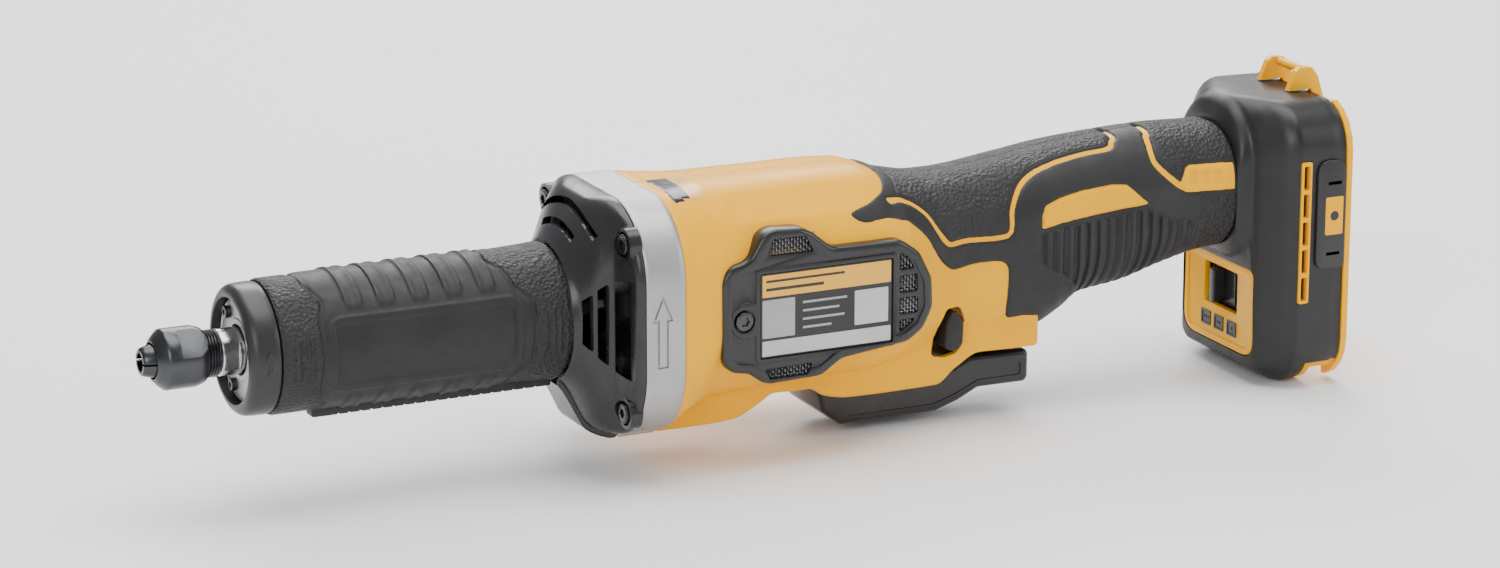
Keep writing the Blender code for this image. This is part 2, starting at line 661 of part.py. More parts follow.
def make_switch(tool, paddle_axis, plunger_axis, button_axis):
    """Paddle on its pin, the switch that it presses, and the lock-off button across it."""
    pivot = PADDLE_PIVOT
    lever = prism(paddle_axis, "paddle_lever", relative(PADDLE_SIDE, pivot), "Y", -14.6, 14.6, black(),
                  bevel=0.8)
    cut(lever, rod(paddle_axis, "paddle_bore", "Y", (0.0, 0.0), 2.3, -20.0, 20.0, black(), 12))
    rod(tool, "paddle_pin", "Y", (pivot[0], pivot[2]), 1.8, -19.0, 19.0, steel(), 12)
    body = block(tool, "switch_body", (261.0, -9.0, -12.0), (285.0, 9.0, 12.0), black(), bevel=1.0)
    cut(body, rod(tool, "plunger_hole", "Z", (271.0, 0.0), 3.4, -14.0, 1.0, black(), 12))
    rod(plunger_axis, "switch_plunger", "Z", (0.0, 0.0), 2.9, 0.0, 26.4, black(), 12)
    block(button_axis, "lock_off_button", (-4.0, -23.6, -8.0), (4.0, 17.2, 8.0), black(), bevel=1.2)


def relative(points, centre):
    return [(x - centre[0], z - centre[2]) for x, z in points]


def make_foot(tool, slider_axis):
    outer = [(s[0], full_outline(s)) for s in FOOT_OUTLINES]
    rear = FOOT_OUTLINES[-1]
    inner = [(404.0, full_outline(rear, WALL)), (387.0, full_outline(rear, WALL)),
             (381.6, full_outline(FOOT_OUTLINES[5], WALL + 1.0)), (377.4, full_outline(FOOT_OUTLINES[3], 1.2))]
    passage = (0.0, 20.4, 37.9, -5.0, 18.0, 14.0, 6.0, -5.0)
    inner += [(377.3, full_outline(passage)), (361.0, full_outline(passage))]
    housing = lofted_loops(tool, "foot_housing", outer + inner, black())
    panel_hole = block(tool, "panel_hole", (372.0, -24.6, -46.4), (379.0, 24.6, -12.4), black())
    channel = block(tool, "channel_mouth", (392.0, -34.4, -60.0), (410.0, 34.4, -38.0), black())
    vents = []
    for side, word in ((-1, "left"), (1, "right")):
        low, high = sorted((side * 30.0, side * 40.0))
        vents.append(block(tool, "vent_slot_" + word, (385.0, low, -23.6), (389.8, high, 29.9), black()))
    cut(housing, panel_hole, channel, *vents)
    make_vents(tool)
    make_battery_plate(tool)
    make_speed_control(tool, slider_axis)


def make_vents(tool):
    for side, word in ((-1, "left"), (1, "right")):
        low, high = sorted((side * 34.2, side * 36.9))
        insert = block(tool, "foot_vent_" + word, (385.3, low, -23.3), (389.5, high, 29.6), yellow())
        low, high = sorted((side * 30.0, side * 40.0))
        for i in range(5):
            up = -22.2 + 10.4 * i
            cut(insert, block(tool, "vent_gap_%s_%d" % (word, i), (386.3, low, up), (388.5, high, up + 8.8),
                              yellow()))


def make_battery_plate(tool):
    """Channel with rails that the battery slides up into, its hood and the lanyard ears."""
    wall = 33.6
    inside = 31.0
    rail = 25.0
    right = ((392.3, 0.0), (392.3, wall), (404.3, wall), (404.3, 36.8), (406.6, 36.8), (406.6, rail),
             (403.6, rail), (403.6, inside), (394.8, inside), (394.8, 0.0))
    outline = list(right[1:-1]) + [(x, -y) for x, y in right[-2:0:-1]]
    channel = prism(tool, "battery_plate", outline, "Z", FOOT_BOTTOM, 52.0, yellow())
    station = (0.0, 36.8, 49.4, FOOT_BOTTOM, 17.4, 17.4, 6.0, FOOT_BOTTOM)
    inner_station = (0.0, 33.6, 46.2, FOOT_BOTTOM, 14.4, 14.4, 6.0, FOOT_BOTTOM)
    limits = [(380.0, full_outline(inner_station)), (404.25, full_outline(inner_station)),
              (404.3, full_outline(station)), (420.0, full_outline(station))]
    bound = lofted_solid(tool, "plate_bound", limits, yellow())
    combine(channel, [bound], 'INTERSECT')
    join(channel, block(tool, "channel_roof", (392.4, -24.0, 41.5), (404.6, 24.0, 45.8), yellow()),
         block(tool, "rear_lip", (404.35, -26.0, 41.6), (406.5, 26.0, 47.6), yellow()))
    ear_side = ((404.4, 44.0), (REAR_X, 46.0), (407.0, 54.4), (404.4, 57.6), (399.4, 58.0),
                (397.6, 56.8), (394.6, 49.7), (404.4, 49.7))
    for i, across in enumerate((-11.0, 8.4)):
        join(channel, prism(tool, "lanyard_ear_%d" % i, ear_side, "Y", across, across + 2.6, yellow()))
    rod(tool, "lanyard_bar", "Y", (402.6, 56.2), 1.6, -8.1, 8.1, steel(), 12)
    block(tool, "terminal_block", (395.1, -14.0, -4.0), (403.0, 14.0, 38.0), black(), bevel=0.8)
    for i, across in enumerate((-9.0, 8.2)):
        block(tool, "contact_blade_%d" % (i + 1), (396.5, across, -24.0), (402.0, across + 0.9, -4.3), brass())
    block(tool, "control_module", (379.0, -25.0, -6.5), (391.6, 25.0, 41.0), black(), bevel=1.0)


def make_speed_control(tool, slider_axis):
    panel = block(tool, "speed_panel", (374.0, -24.3, -46.1), (377.0, 24.3, -12.7), yellow())
    window = block(tool, "panel_window", (370.0, -12.0, -32.3), (380.0, 11.0, -16.9), yellow())
    cut(panel, window)
    slider = block(slider_axis, "speed_slider", (3.7, -15.6, -8.6), (4.9, 18.6, 8.6), black())
    join(slider, block(slider_axis, "slider_ridge", (-1.4, -1.6, -6.6), (4.0, 1.6, 6.6), black()))
    block(tool, "speed_board", (379.4, -20.0, -42.0), (381.0, 20.0, -10.0), circuit())
    block(tool, "tag_cover", (391.8, -37.7, -11.0), (403.8, -36.7, 29.6), rubber(), bevel=0.3)


def build():
    clear_scene()
    tool = empty("tool_axis", (-(FRONT_X + REAR_X) / 2, 0.0, -FOOT_BOTTOM))
    spindle_axis = empty("spindle_axis", (0.0, 0.0, 0.0), tool)
    collet_axis = empty("collet_axis", (0.0, 0.0, 0.0), spindle_axis)
    paddle_axis = empty("paddle_axis", PADDLE_PIVOT, tool)
    plunger_axis = empty("plunger_axis", (271.0, 0.0, -32.6), tool)
    button_axis = empty("button_axis", BUTTON_CENTRE, tool)
    slider_axis = empty("slider_axis", SLIDER_CENTRE, tool)
    make_spindle(spindle_axis)
    make_collet(collet_axis)
    make_collet_nut(collet_axis)
    make_bearing("front_bearing", tool, spindle_axis, -3.9, 4.6, 7.5, 16.0, True)
    make_bearing("rear_bearing", tool, spindle_axis, 92.0, 98.6, 5.0, 13.0, True)
    make_nose(tool)
    make_front_cover(tool)
    make_cover_screws(tool)
    make_bearing_plate(tool)
    make_fan(spindle_axis)
    make_motor(tool, spindle_axis)
    make_housing(tool)
    make_grip(tool)
    make_screens(tool)
    make_switch(tool, paddle_axis, plunger_axis, button_axis)
    make_foot(tool, slider_axis)


build()
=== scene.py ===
"""Looks of the cordless die grinder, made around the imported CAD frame.

Lengths are millimetres on the spindle axis, as in the CAD source: X from the collet to the
foot, Z up, the tool's left side at -Y. metres() turns them into the frame's own coordinates.
Surfaces that wrap round the tool are grids over x and the distance s around the section from
its top, and their ribs, grooves and edges are heights worked out from outlines in x and s.
"""
import math

import bmesh
import bpy
import numpy as np
from mathutils import Matrix, Vector


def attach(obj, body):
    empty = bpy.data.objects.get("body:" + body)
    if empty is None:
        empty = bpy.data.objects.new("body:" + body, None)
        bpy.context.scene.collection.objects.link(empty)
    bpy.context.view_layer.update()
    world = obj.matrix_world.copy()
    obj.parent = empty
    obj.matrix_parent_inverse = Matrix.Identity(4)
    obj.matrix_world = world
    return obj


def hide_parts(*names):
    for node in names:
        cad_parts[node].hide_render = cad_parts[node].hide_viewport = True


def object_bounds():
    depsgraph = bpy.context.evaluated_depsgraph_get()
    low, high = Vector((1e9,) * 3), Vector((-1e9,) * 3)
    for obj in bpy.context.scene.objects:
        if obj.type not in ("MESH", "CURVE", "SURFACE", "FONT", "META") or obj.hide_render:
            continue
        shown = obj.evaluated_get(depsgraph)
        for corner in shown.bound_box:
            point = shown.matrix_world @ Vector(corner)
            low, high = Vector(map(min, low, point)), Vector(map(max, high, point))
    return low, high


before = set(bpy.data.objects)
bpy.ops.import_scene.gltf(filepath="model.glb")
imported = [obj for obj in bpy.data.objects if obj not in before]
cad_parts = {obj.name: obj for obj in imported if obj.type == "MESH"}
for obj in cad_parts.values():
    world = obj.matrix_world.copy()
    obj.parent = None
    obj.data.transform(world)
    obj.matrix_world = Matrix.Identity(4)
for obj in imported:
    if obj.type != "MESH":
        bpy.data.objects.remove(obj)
CAD_LOW, CAD_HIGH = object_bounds()

FRONT_X = -42.0                # tip of the collet
FOOT_BOTTOM = -56.0            # what the tool stands on, below the spindle axis
ORIGIN = np.array([CAD_LOW.x * 1000 - FRONT_X, 0.0, CAD_LOW.z * 1000 - FOOT_BOTTOM])
SEAM = 0.15                    # half the gap between left and right mouldings
COVER_FRONT = 104.3            # the fan cover, then the aluminium ring, from front to rear
COVER_REAR = 123.2
RING_FRONT = 123.5
RING_REAR = 138.0
BODY_FRONT = 138.3             # the yellow motor body
BODY_REAR = 287.2
GRIP_FRONT = 204.0             # the rubber tucks under the hump
HANDLE_REAR = 367.2            # where the rubber ends against the foot
PANEL_X = 374.0                # front face of the speed panel
LEFT, RIGHT = -1, 1
SIDES = ((LEFT, "left"), (RIGHT, "right"))
SIDES_Y = (LEFT, RIGHT)

# Half width, top, bottom, upper radius, lower radius, keel half width, keel bottom, lower edge
HOUSING = (
    (138.3, 41.7, 41.7, -41.4, 27.0, 27.0, 17.0, -44.0, SEAM),
    (147.0, 39.5, 41.5, -38.5, 29.0, 30.0, 17.0, -44.2, SEAM),
    (156.0, 37.4, 41.4, -36.4, 31.0, 33.0, 17.0, -44.2, SEAM),
    (168.0, 36.8, 41.3, -35.8, 31.0, 33.0, 17.0, -43.6, SEAM),
    (177.0, 36.6, 41.3, -35.4, 31.0, 33.0, 17.0, -39.8, SEAM),
    (184.0, 36.5, 41.2, -35.2, 31.0, 33.0, 17.0, -36.2, SEAM),
    (191.0, 36.4, 41.2, -35.2, 31.0, 33.0, 18.5, -36.0, SEAM),
    (196.0, 36.4, 41.2, -35.2, 31.0, 33.0, 20.2, -35.4, 17.6),
    (202.0, 36.4, 41.2, -35.2, 31.0, 33.0, 20.2, -38.6, 17.6),
    (211.0, 36.4, 41.0, -35.2, 31.5, 33.0, 20.2, -40.4, 17.6),
    (218.0, 36.2, 40.6, -35.0, 32.0, 32.4, 20.2, -40.6, 17.6),
    (224.0, 35.6, 39.0, -34.2, 32.0, 31.6, 20.2, -40.7, 17.6),
    (228.6, 34.0, 36.8, -33.3, 30.0, 30.0, 20.2, -40.7, 17.6),
    (233.0, 29.2, 34.0, -31.6, 25.0, 26.0, 20.1, -40.7, 17.6),
    (239.0, 24.2, 32.1, -30.0, 20.5, 21.0, 20.0, -40.7, 17.5),
    (246.5, 20.8, 31.0, -30.0, 18.0, 18.0, 19.8, -40.6, 17.4),
    (254.0, 20.2, 30.8, -28.0, 17.0, 17.0, 19.6, -35.5, 17.2),
    (264.0, 20.0, 31.4, -26.0, 17.0, 17.0, 19.5, -30.8, 17.1),
    (280.0, 20.0, 33.4, -25.5, 17.0, 17.0, 19.5, -31.2, 17.1),
    (287.2, 20.0, 34.3, -25.5, 17.0, 17.0, 19.5, -31.2, 17.1),
)
HANDLE = (
    (200.0, 36.4, 41.2, -35.2, 31.0, 33.0, 2.0, -35.2, SEAM),
    (211.0, 36.4, 41.0, -35.2, 31.5, 33.0, 2.0, -35.2, SEAM),
    (218.0, 36.2, 40.6, -35.0, 32.0, 32.4, 2.0, -35.0, SEAM),
    (224.0, 35.6, 39.0, -34.2, 32.0, 31.6, 2.0, -34.2, SEAM),
    (228.6, 34.0, 36.8, -33.3, 30.0, 30.0, 2.0, -33.3, SEAM),
    (233.0, 29.2, 34.0, -31.6, 25.0, 26.0, 2.0, -31.6, SEAM),
    (239.0, 24.2, 32.1, -30.0, 20.5, 21.0, 2.0, -30.0, SEAM),
    (246.5, 20.8, 31.0, -30.0, 18.0, 18.0, 2.0, -30.0, SEAM),
    (254.0, 20.2, 30.8, -28.0, 17.0, 17.0, 2.0, -28.0, SEAM),
    (264.0, 20.0, 31.4, -26.0, 17.0, 17.0, 2.0, -26.0, SEAM),
    (280.0, 20.0, 33.4, -25.5, 17.0, 17.0, 2.0, -25.5, SEAM),
    (288.0, 20.0, 34.4, -24.5, 17.0, 15.0, 2.0, -24.5, SEAM),
    (298.0, 19.8, 35.8, -20.4, 17.0, 16.0, 2.0, -20.4, SEAM),
    (308.0, 19.6, 36.7, -14.8, 17.0, 17.0, 2.0, -14.8, SEAM),
    (325.0, 19.4, 37.7, -12.6, 17.0, 17.0, 2.0, -12.6, SEAM),
    (342.0, 19.2, 38.2, -8.2, 17.0, 17.0, 2.0, -8.2, SEAM),
    (360.0, 19.6, 37.4, -4.4, 17.0, 17.0, 2.0, -4.4, SEAM),
    (376.0, 19.6, 37.0, -3.6, 17.0, 17.0, 2.0, -3.6, SEAM),
)
COVER = (
    (104.3, 24.4, 24.4, -24.4, 24.2, 24.2, 9.8, -24.8, 0.0),
    (106.0, 24.7, 26.2, -26.2, 24.4, 24.4, 9.9, -27.0, 0.0),
    (108.0, 25.4, 29.0, -29.0, 24.0, 24.0, 10.1, -30.4, 0.0),
    (111.0, 26.2, 34.4, -34.4, 22.0, 22.0, 10.5, -36.2, 0.0),
    (113.6, 27.2, 38.8, -38.8, 20.5, 20.5, 11.0, -40.8, 0.0),
    (116.2, 29.2, 40.9, -40.9, 20.0, 20.0, 12.0, -42.9, 0.0),
    (119.2, 36.6, 41.8, -41.8, 24.0, 24.0, 15.0, -43.8, 0.0),
    (121.2, 41.2, 42.0, -42.0, 27.0, 27.0, 16.8, -44.0, 0.0),
    (123.2, 42.0, 42.0, -42.0, 27.0, 27.0, 16.8, -44.0, 0.0),
)
FOOT = (
    (367.4, 22.2, 41.4, -6.6, 19.0, 15.0, 6.0, -6.6, 0.0),
    (369.6, 22.6, 46.4, -9.0, 20.0, 14.6, 6.0, -9.0, 0.0),
    (372.4, 23.2, 48.8, -11.0, 21.0, 14.0, 6.0, -11.0, 0.0),
    (374.4, 26.0, 49.4, -49.4, 21.0, 5.0, 6.0, -49.4, 0.0),
    (378.0, 30.6, 49.6, -51.8, 20.0, 10.0, 6.0, -51.8, 0.0),
    (382.0, 34.8, 49.6, -54.2, 18.0, 15.0, 6.0, -54.2, 0.0),
    (386.0, 36.4, 49.5, -56.0, 17.0, 17.0, 6.0, -56.0, 0.0),
    (404.0, 36.4, 49.0, -56.0, 17.0, 17.0, 6.0, -56.0, 0.0),
)
FOOT_INSIDE = (
    (367.4, 20.4, 37.9, -5.0, 18.0, 14.0, 6.0, -5.0, 0.0),
    (376.2, 20.4, 37.9, -5.0, 18.0, 14.0, 6.0, -5.0, 0.0),
    (376.6, 25.6, 45.4, -46.6, 17.0, 6.0, 6.0, -46.6, 0.0),
    (382.0, 31.0, 46.0, -50.4, 15.0, 12.0, 6.0, -50.4, 0.0),
    (387.0, 33.2, 46.3, -52.8, 14.0, 14.0, 6.0, -52.8, 0.0),
    (404.0, 33.2, 45.8, -52.8, 14.0, 14.0, 6.0, -52.8, 0.0),
)
SMOOTH_POINTS = 120            # points of a half section above its keel
KEEL_POINTS = (5, 5, 9)        # points down the keel's side, round its edge and below it

# Outlines on the left side, (x, z); a z above the tool stands for its top
RUBBER_EDGE = (
    (222.4, 48.0), (223.6, 39.2), (226.0, 37.6), (222.4, 34.4), (215.0, 32.0), (206.8, 30.0),
    (207.2, 27.9), (211.5, 26.0), (219.0, 26.3), (226.4, 25.3), (232.3, 22.4), (238.4, 16.9),
    (243.2, 10.2), (247.6, 4.6), (251.5, 2.4), (259.0, 3.5), (268.6, 3.4), (272.6, 1.6),
    (273.6, -2.0), (273.3, -9.0), (273.4, -16.0), (275.4, -21.4), (279.5, -23.6), (287.8, -24.2),
)
ACCENT_A = (
    (224.3, 31.0), (229.0, 30.6), (233.6, 28.8), (239.7, 24.0), (244.2, 17.8), (247.8, 13.0),
    (250.2, 11.6), (257.2, 12.2), (270.6, 11.7), (273.8, 12.8), (274.6, 15.4), (275.0, 21.3),
    (279.3, 28.2), (285.8, 31.9), (295.0, 34.4), (308.0, 36.2), (318.4, 37.0), (321.6, 38.6),
    (323.4, 39.6), (323.6, 48.0),
)
ACCENT_B = (
    (337.4, 48.0), (337.0, 40.0), (335.4, 38.6), (334.1, 33.2), (335.8, 29.4), (341.6, 23.9),
    (346.4, 20.9), (351.0, 20.2),
)
PATCH = (
    (343.4, 22.6), (346.0, 19.4), (366.6, 18.4), (367.0, 20.0), (367.0, 27.6), (366.0, 28.8),
    (348.0, 29.4), (346.4, 28.6),
)
SIDE_PANEL = (
    (286.6, 12.6), (286.5, 17.4), (288.0, 21.4), (293.6, 23.4), (302.9, 25.2), (316.2, 26.0),
    (321.6, 25.4), (325.0, 22.6), (331.4, 16.9),
)
RIB_FIELD = (
    (285.8, 11.6), (286.2, 0.6), (288.3, -2.6), (293.8, -5.2), (298.3, -8.4), (302.3, -12.4),
    (303.5, -60.0), (352.0, -60.0), (352.0, 9.4), (342.0, 10.4), (331.0, 16.2),
)
SCREEN = (
    (153.2, 13.6), (156.6, 18.4), (163.6, 19.6), (168.2, 27.6), (172.4, 30.0), (183.6, 29.2),
    (188.0, 27.0), (195.4, 20.9), (222.0, 20.6), (229.4, 15.2), (234.2, 5.4), (234.6, -5.0),
    (231.0, -12.4), (224.8, -16.6), (199.2, -19.4), (191.4, -24.6), (169.8, -25.2),
    (164.0, -20.6), (156.8, -19.4), (153.4, -15.0),
)
PADDLE = (
    (202.0, -39.6), (204.0, -46.6), (211.0, -52.0), (249.0, -52.0), (258.0, -49.2),
    (266.0, -45.4), (285.0, -45.6), (286.4, -44.0), (286.4, -33.4), (262.0, -33.2),
    (252.0, -37.6), (214.0, -38.0), (211.0, -33.6), (203.6, -33.6),
)


def metres(points):
    return (np.asarray(points, float) + ORIGIN) * 0.001


# ---------------------------------------------------------------- curves and outlines

def monotone(x, xs, ys):
    """Smooth curve through a table's points that never overshoots them."""
    xs, ys = np.asarray(xs, float), np.asarray(ys, float)
    widths = np.diff(xs)
    slopes = np.diff(ys) / widths
    same_way = slopes[:-1] * slopes[1:] > 0
    total = np.where(same_way, slopes[:-1] + slopes[1:], 1.0)
    inner = np.where(same_way, 2 * slopes[:-1] * slopes[1:] / total, 0.0)
    tangents = np.concatenate(([slopes[0]], inner, [slopes[-1]]))
    i = np.clip(np.searchsorted(xs, x) - 1, 0, len(widths) - 1)
    t = np.clip((x - xs[i]) / widths[i], 0.0, 1.0)
    keep = (1 + 2 * t) * (1 - t) ** 2 * ys[i] + t * t * (3 - 2 * t) * ys[i + 1]
    bend = t * (1 - t) ** 2 * tangents[i] - t * t * (1 - t) * tangents[i + 1]
    return keep + widths[i] * bend


def spline(points, closed=False, steps=8):
    """Catmull-Rom curve through points."""
    points = np.asarray(points, float)
    if closed:
        padded = np.vstack((points[-1], points, points[:2]))
    else:
        padded = np.vstack((2 * points[0] - points[1], points, 2 * points[-1] - points[-2]))
    found = []
    for a, b, c, d in zip(padded, padded[1:], padded[2:], padded[3:]):
        for t in np.arange(steps) / steps:
            found.append(0.5 * (2 * b + (c - a) * t + (2 * a - 5 * b + 4 * c - d) * t ** 2
                                + (3 * b - a - 3 * c + d) * t ** 3))
    if not closed:
        found.append(points[-1])
    return np.array(found)


def rounded(corners, radius, steps=6, closed=True):
    """An outline with its corners rounded; a corner may end in a radius of its own."""
    count = len(corners)
    found = []
    for i, corner in enumerate(corners):
        here = np.array(corner[:2], float)
        if not closed and i in (0, count - 1):
            found.append(here)
            continue
        before = np.array(corners[i - 1][:2], float) - here
        after = np.array(corners[(i + 1) % count][:2], float) - here
        reach = [np.linalg.norm(before), np.linalg.norm(after)]
        before, after = before / reach[0], after / reach[1]
        half = 0.5 * math.acos(float(np.clip(before @ after, -1, 1)))
        own = corner[2] if len(corner) > 2 else radius
        back = min(own / max(math.tan(half), 1e-3), 0.48 * min(reach))
        for t in np.linspace(0, 1, steps + 1):
            found.append(here + before * back * (1 - t) ** 2 + after * back * t * t)
    return np.array(found)


def distance_to_line(u, v, line, closed=False):
    """Distance from points (u, v) to a polyline."""
    line = np.asarray(line, float)
    ends = np.roll(line, -1, axis=0) if closed else line[1:]
    starts = line if closed else line[:-1]
    nearest = np.full(u.shape, 1e9)
    for (ax, ay), (bx, by) in zip(starts, ends):
        dx, dy = bx - ax, by - ay
        along = np.clip(((u - ax) * dx + (v - ay) * dy) / max(dx * dx + dy * dy, 1e-12), 0, 1)
        nearest = np.minimum(nearest, (u - ax - along * dx) ** 2 + (v - ay - along * dy) ** 2)
    return np.sqrt(nearest)


def inside(u, v, outline):
    """Whether points (u, v) lie inside an outline."""
    result = np.zeros(u.shape, bool)
    for (ax, ay), (bx, by) in zip(outline, np.roll(outline, -1, axis=0)):
        if ay != by:
            crosses = (ay > v) != (by > v)
            result ^= crosses & (u < (bx - ax) * (v - ay) / (by - ay) + ax)
    return result


def depth_inside(u, v, outline):
    """Distance to an outline, positive inside it."""
    away = distance_to_line(u, v, outline, True)
    return np.where(inside(u, v, outline), away, -away)


def ramp(value, low, high):
    """0 below low, 1 above high, and smooth between."""
    t = np.clip((value - low) / (high - low), 0.0, 1.0)
    return t * t * (3 - 2 * t)


# ---------------------------------------------------------------- meshes

def add_mesh(name, points, faces, material, attributes=None, sharp=36.0):
    """A mesh object from points in millimetres, with its faces pointing out."""
    mesh = bpy.data.meshes.new(name)
    mesh.from_pydata(metres(points).tolist(), [], [list(map(int, face)) for face in faces])
    for key, values in (attributes or {}).items():
        layer = mesh.attributes.new(key, 'FLOAT', 'POINT')
        layer.data.foreach_set("value", np.asarray(values, np.float32).ravel())
    made = bpy.data.objects.new(name, mesh)
    bpy.context.scene.collection.objects.link(made)
    mesh.materials.append(material)
    return tidy(made, sharp)


def tidy(made, sharp=36.0):
    """Merges doubled points, points the faces out and shades the piece smooth."""
    work = bmesh.new()
    work.from_mesh(made.data)
    bmesh.ops.remove_doubles(work, verts=work.verts, dist=1e-7)
    bmesh.ops.recalc_face_normals(work, faces=work.faces)
    work.to_mesh(made.data)
    work.free()
    made.data.shade_smooth()
    made.data.set_sharp_from_angle(angle=math.radians(sharp))
    return made


def settle(made, body, slot, *nodes):
    """The piece rides on a body and stands for CAD nodes; the slot argument is not used."""
    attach(made, body)
    if nodes:
        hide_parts(*nodes)
    return made


def quads(rows, columns, wrap_rows=False, wrap_columns=False):
    """Faces of a grid of points, numbered row by row."""
    i = np.arange(rows if wrap_rows else rows - 1)[:, None]
    j = np.arange(columns if wrap_columns else columns - 1)[None, :]
    down, across = (i + 1) % rows, (j + 1) % columns
    corners = (i * columns + j, i * columns + across, down * columns + across, down * columns + j)
    return np.stack(np.broadcast_arrays(*corners), axis=-1).reshape(-1, 4)


def apply_modifiers(made):
    """Replaces the piece's mesh by its mesh with the modifiers applied."""
    bpy.context.view_layer.update()
    shown = made.evaluated_get(bpy.context.evaluated_depsgraph_get())
    mesh = bpy.data.meshes.new_from_object(shown)
    made.modifiers.clear()
    made.data = mesh
    return made


def combined(made, others, operation='DIFFERENCE', sharp=36.0):
    """Cuts or joins helper pieces, which are then removed."""
    for other in others:
        step = made.modifiers.new(other.name, 'BOOLEAN')
        step.operation = operation
        step.object = other
        step.solver = 'EXACT'
    apply_modifiers(made)
    for other in others:
        bpy.data.objects.remove(other, do_unlink=True)
    return tidy(made, sharp)


def bevelled(made, width, segments=3, angle=30.0, sharp=50.0):
    """Rounds the piece's edges by a width in millimetres."""
    step = made.modifiers.new("rounded_edges", 'BEVEL')
    step.width = width * 0.001
    step.segments = segments
    step.limit_method = 'ANGLE'
    step.angle_limit = math.radians(angle)
    step.harden_normals = False
    apply_modifiers(made)
    return tidy(made, sharp)


def joined(name, parts):
    """One object out of several separate closed bodies."""
    base = parts[0]
    work = bmesh.new()
    for part in parts:
        work.from_mesh(part.data)
    work.to_mesh(base.data)
    work.free()
    for part in parts[1:]:
        bpy.data.objects.remove(part, do_unlink=True)
    base.name = name
    base.data.shade_smooth()
    base.data.set_sharp_from_angle(angle=math.radians(36))
    return base


def prism(name, outline, axis, low, high, material, edge=0.0, sharp=36.0):
    """An outline pushed along an axis; a positive edge rounds every sharp edge."""
    outline = np.asarray(outline, float)
    count = len(outline)
    order = {"X": (2, 0, 1), "Y": (0, 2, 1), "Z": (0, 1, 2)}[axis]
    points = []
    for level in (low, high):
        flat = np.column_stack((outline, np.full(count, level)))
        points.append(flat[:, order])
    faces = [list(range(count)), list(range(count, 2 * count))]
    faces += [(i, (i + 1) % count, count + (i + 1) % count, count + i) for i in range(count)]
    made = add_mesh(name, np.vstack(points), faces, material, sharp=sharp)
    return bevelled(made, edge) if edge else made


def rectangle(low, high):
    return [(low[0], low[1]), (high[0], low[1]), (high[0], high[1]), (low[0], high[1])]


def span(side, near, far):
    """Lower and upper Y between two distances out from the middle, on one side."""
    return sorted((side * near, side * far))


def block(name, low, high, material, edge=0.0):
    return prism(name, rectangle(low[:2], high[:2]), "Z", low[2], high[2], material, edge)


def circle(centre, radius, count=48):
    turns = 2 * math.pi * np.arange(count) / count
    return np.column_stack((centre[0] + radius * np.cos(turns), centre[1] + radius * np.sin(turns)))


def turned(name, profile, material, facets=96, height=None, sharp=36.0, attributes=None):
    """A solid of revolution about X, from a closed profile of (x, radius) points.

    height(x, angle) may raise or lower its radius; the angle runs from -Y up to +Z."""
    profile = np.asarray(profile, float)
    angles = 2 * math.pi * np.arange(facets) / facets
    x, angle = np.meshgrid(profile[:, 0], angles, indexing="ij")
    radius = np.repeat(profile[:, 1:2], facets, axis=1)
    if height is not None:
        radius = radius + height(x, angle, radius)
    points = np.stack((x, -radius * np.cos(angle), radius * np.sin(angle)), axis=-1)
    solid = profile[0, 1] < 1e-6
    faces = list(quads(len(profile), facets, not solid, True))
    made = add_mesh(name, points.reshape(-1, 3), faces, material, attributes, sharp)
    return made


# ---------------------------------------------------------------- sections of the body

def section_fields(stations, x):
    """The outline fields at any x, smoothly between the stations."""
    table = np.array(stations)
    return [float(monotone(np.array(x), table[:, 0], table[:, k])) for k in range(1, 9)]


def resampled(points, count):
    """Evenly spaced points along a polyline."""
    steps = np.linalg.norm(np.diff(points, axis=0), axis=1)
    along = np.concatenate(([0.0], np.cumsum(steps)))
    wanted = np.linspace(0.0, along[-1], count)
    return np.column_stack([np.interp(wanted, along, points[:, k]) for k in range(2)])


def half_section(fields, points=SMOOTH_POINTS):
    """Right half of a section, (y, z) from the top centre down to the lower edge."""
    width, top, bottom, upper, lower, keel, keel_bottom, edge = fields
    turns = np.linspace(math.pi / 2, 0.0, 25)
    upper_arc = np.column_stack((width - upper + upper * np.cos(turns),
                                 top - upper + upper * np.sin(turns)))
    reach = math.acos(min(1.0, max(0.0, (keel - width + lower) / lower)))
    turns = -np.linspace(0.0, reach, 25)
    lower_arc = np.column_stack((width - lower + lower * np.cos(turns),
                                 bottom + lower + lower * np.sin(turns)))
    smooth = resampled(np.vstack(([(min(edge, SEAM), top)], upper_arc, lower_arc)), points)
    drop = max(smooth[-1, 1] - keel_bottom, 0.0)
    if drop < 0.15:
        flat = np.linspace(smooth[-1, 0], edge, sum(KEEL_POINTS) + 1)[1:]
        return np.vstack((smooth, np.column_stack((flat, np.full(len(flat), smooth[-1, 1])))))
    fillet = min(1.8, 0.45 * drop + 0.02)
    down, around, across = KEEL_POINTS
    side = np.column_stack((np.full(down, keel),
                            np.linspace(smooth[-1, 1] - 0.1 * drop, keel_bottom + fillet, down)))
    turns = -np.linspace(0.0, math.pi / 2, around + 1)[1:]
    corner = np.column_stack((keel - fillet + fillet * np.cos(turns),
                              keel_bottom + fillet + fillet * np.sin(turns)))
    below = np.column_stack((np.linspace(keel - fillet, edge, across + 1)[1:],
                             np.full(across, keel_bottom)))
    return np.vstack((smooth, side, corner, below))


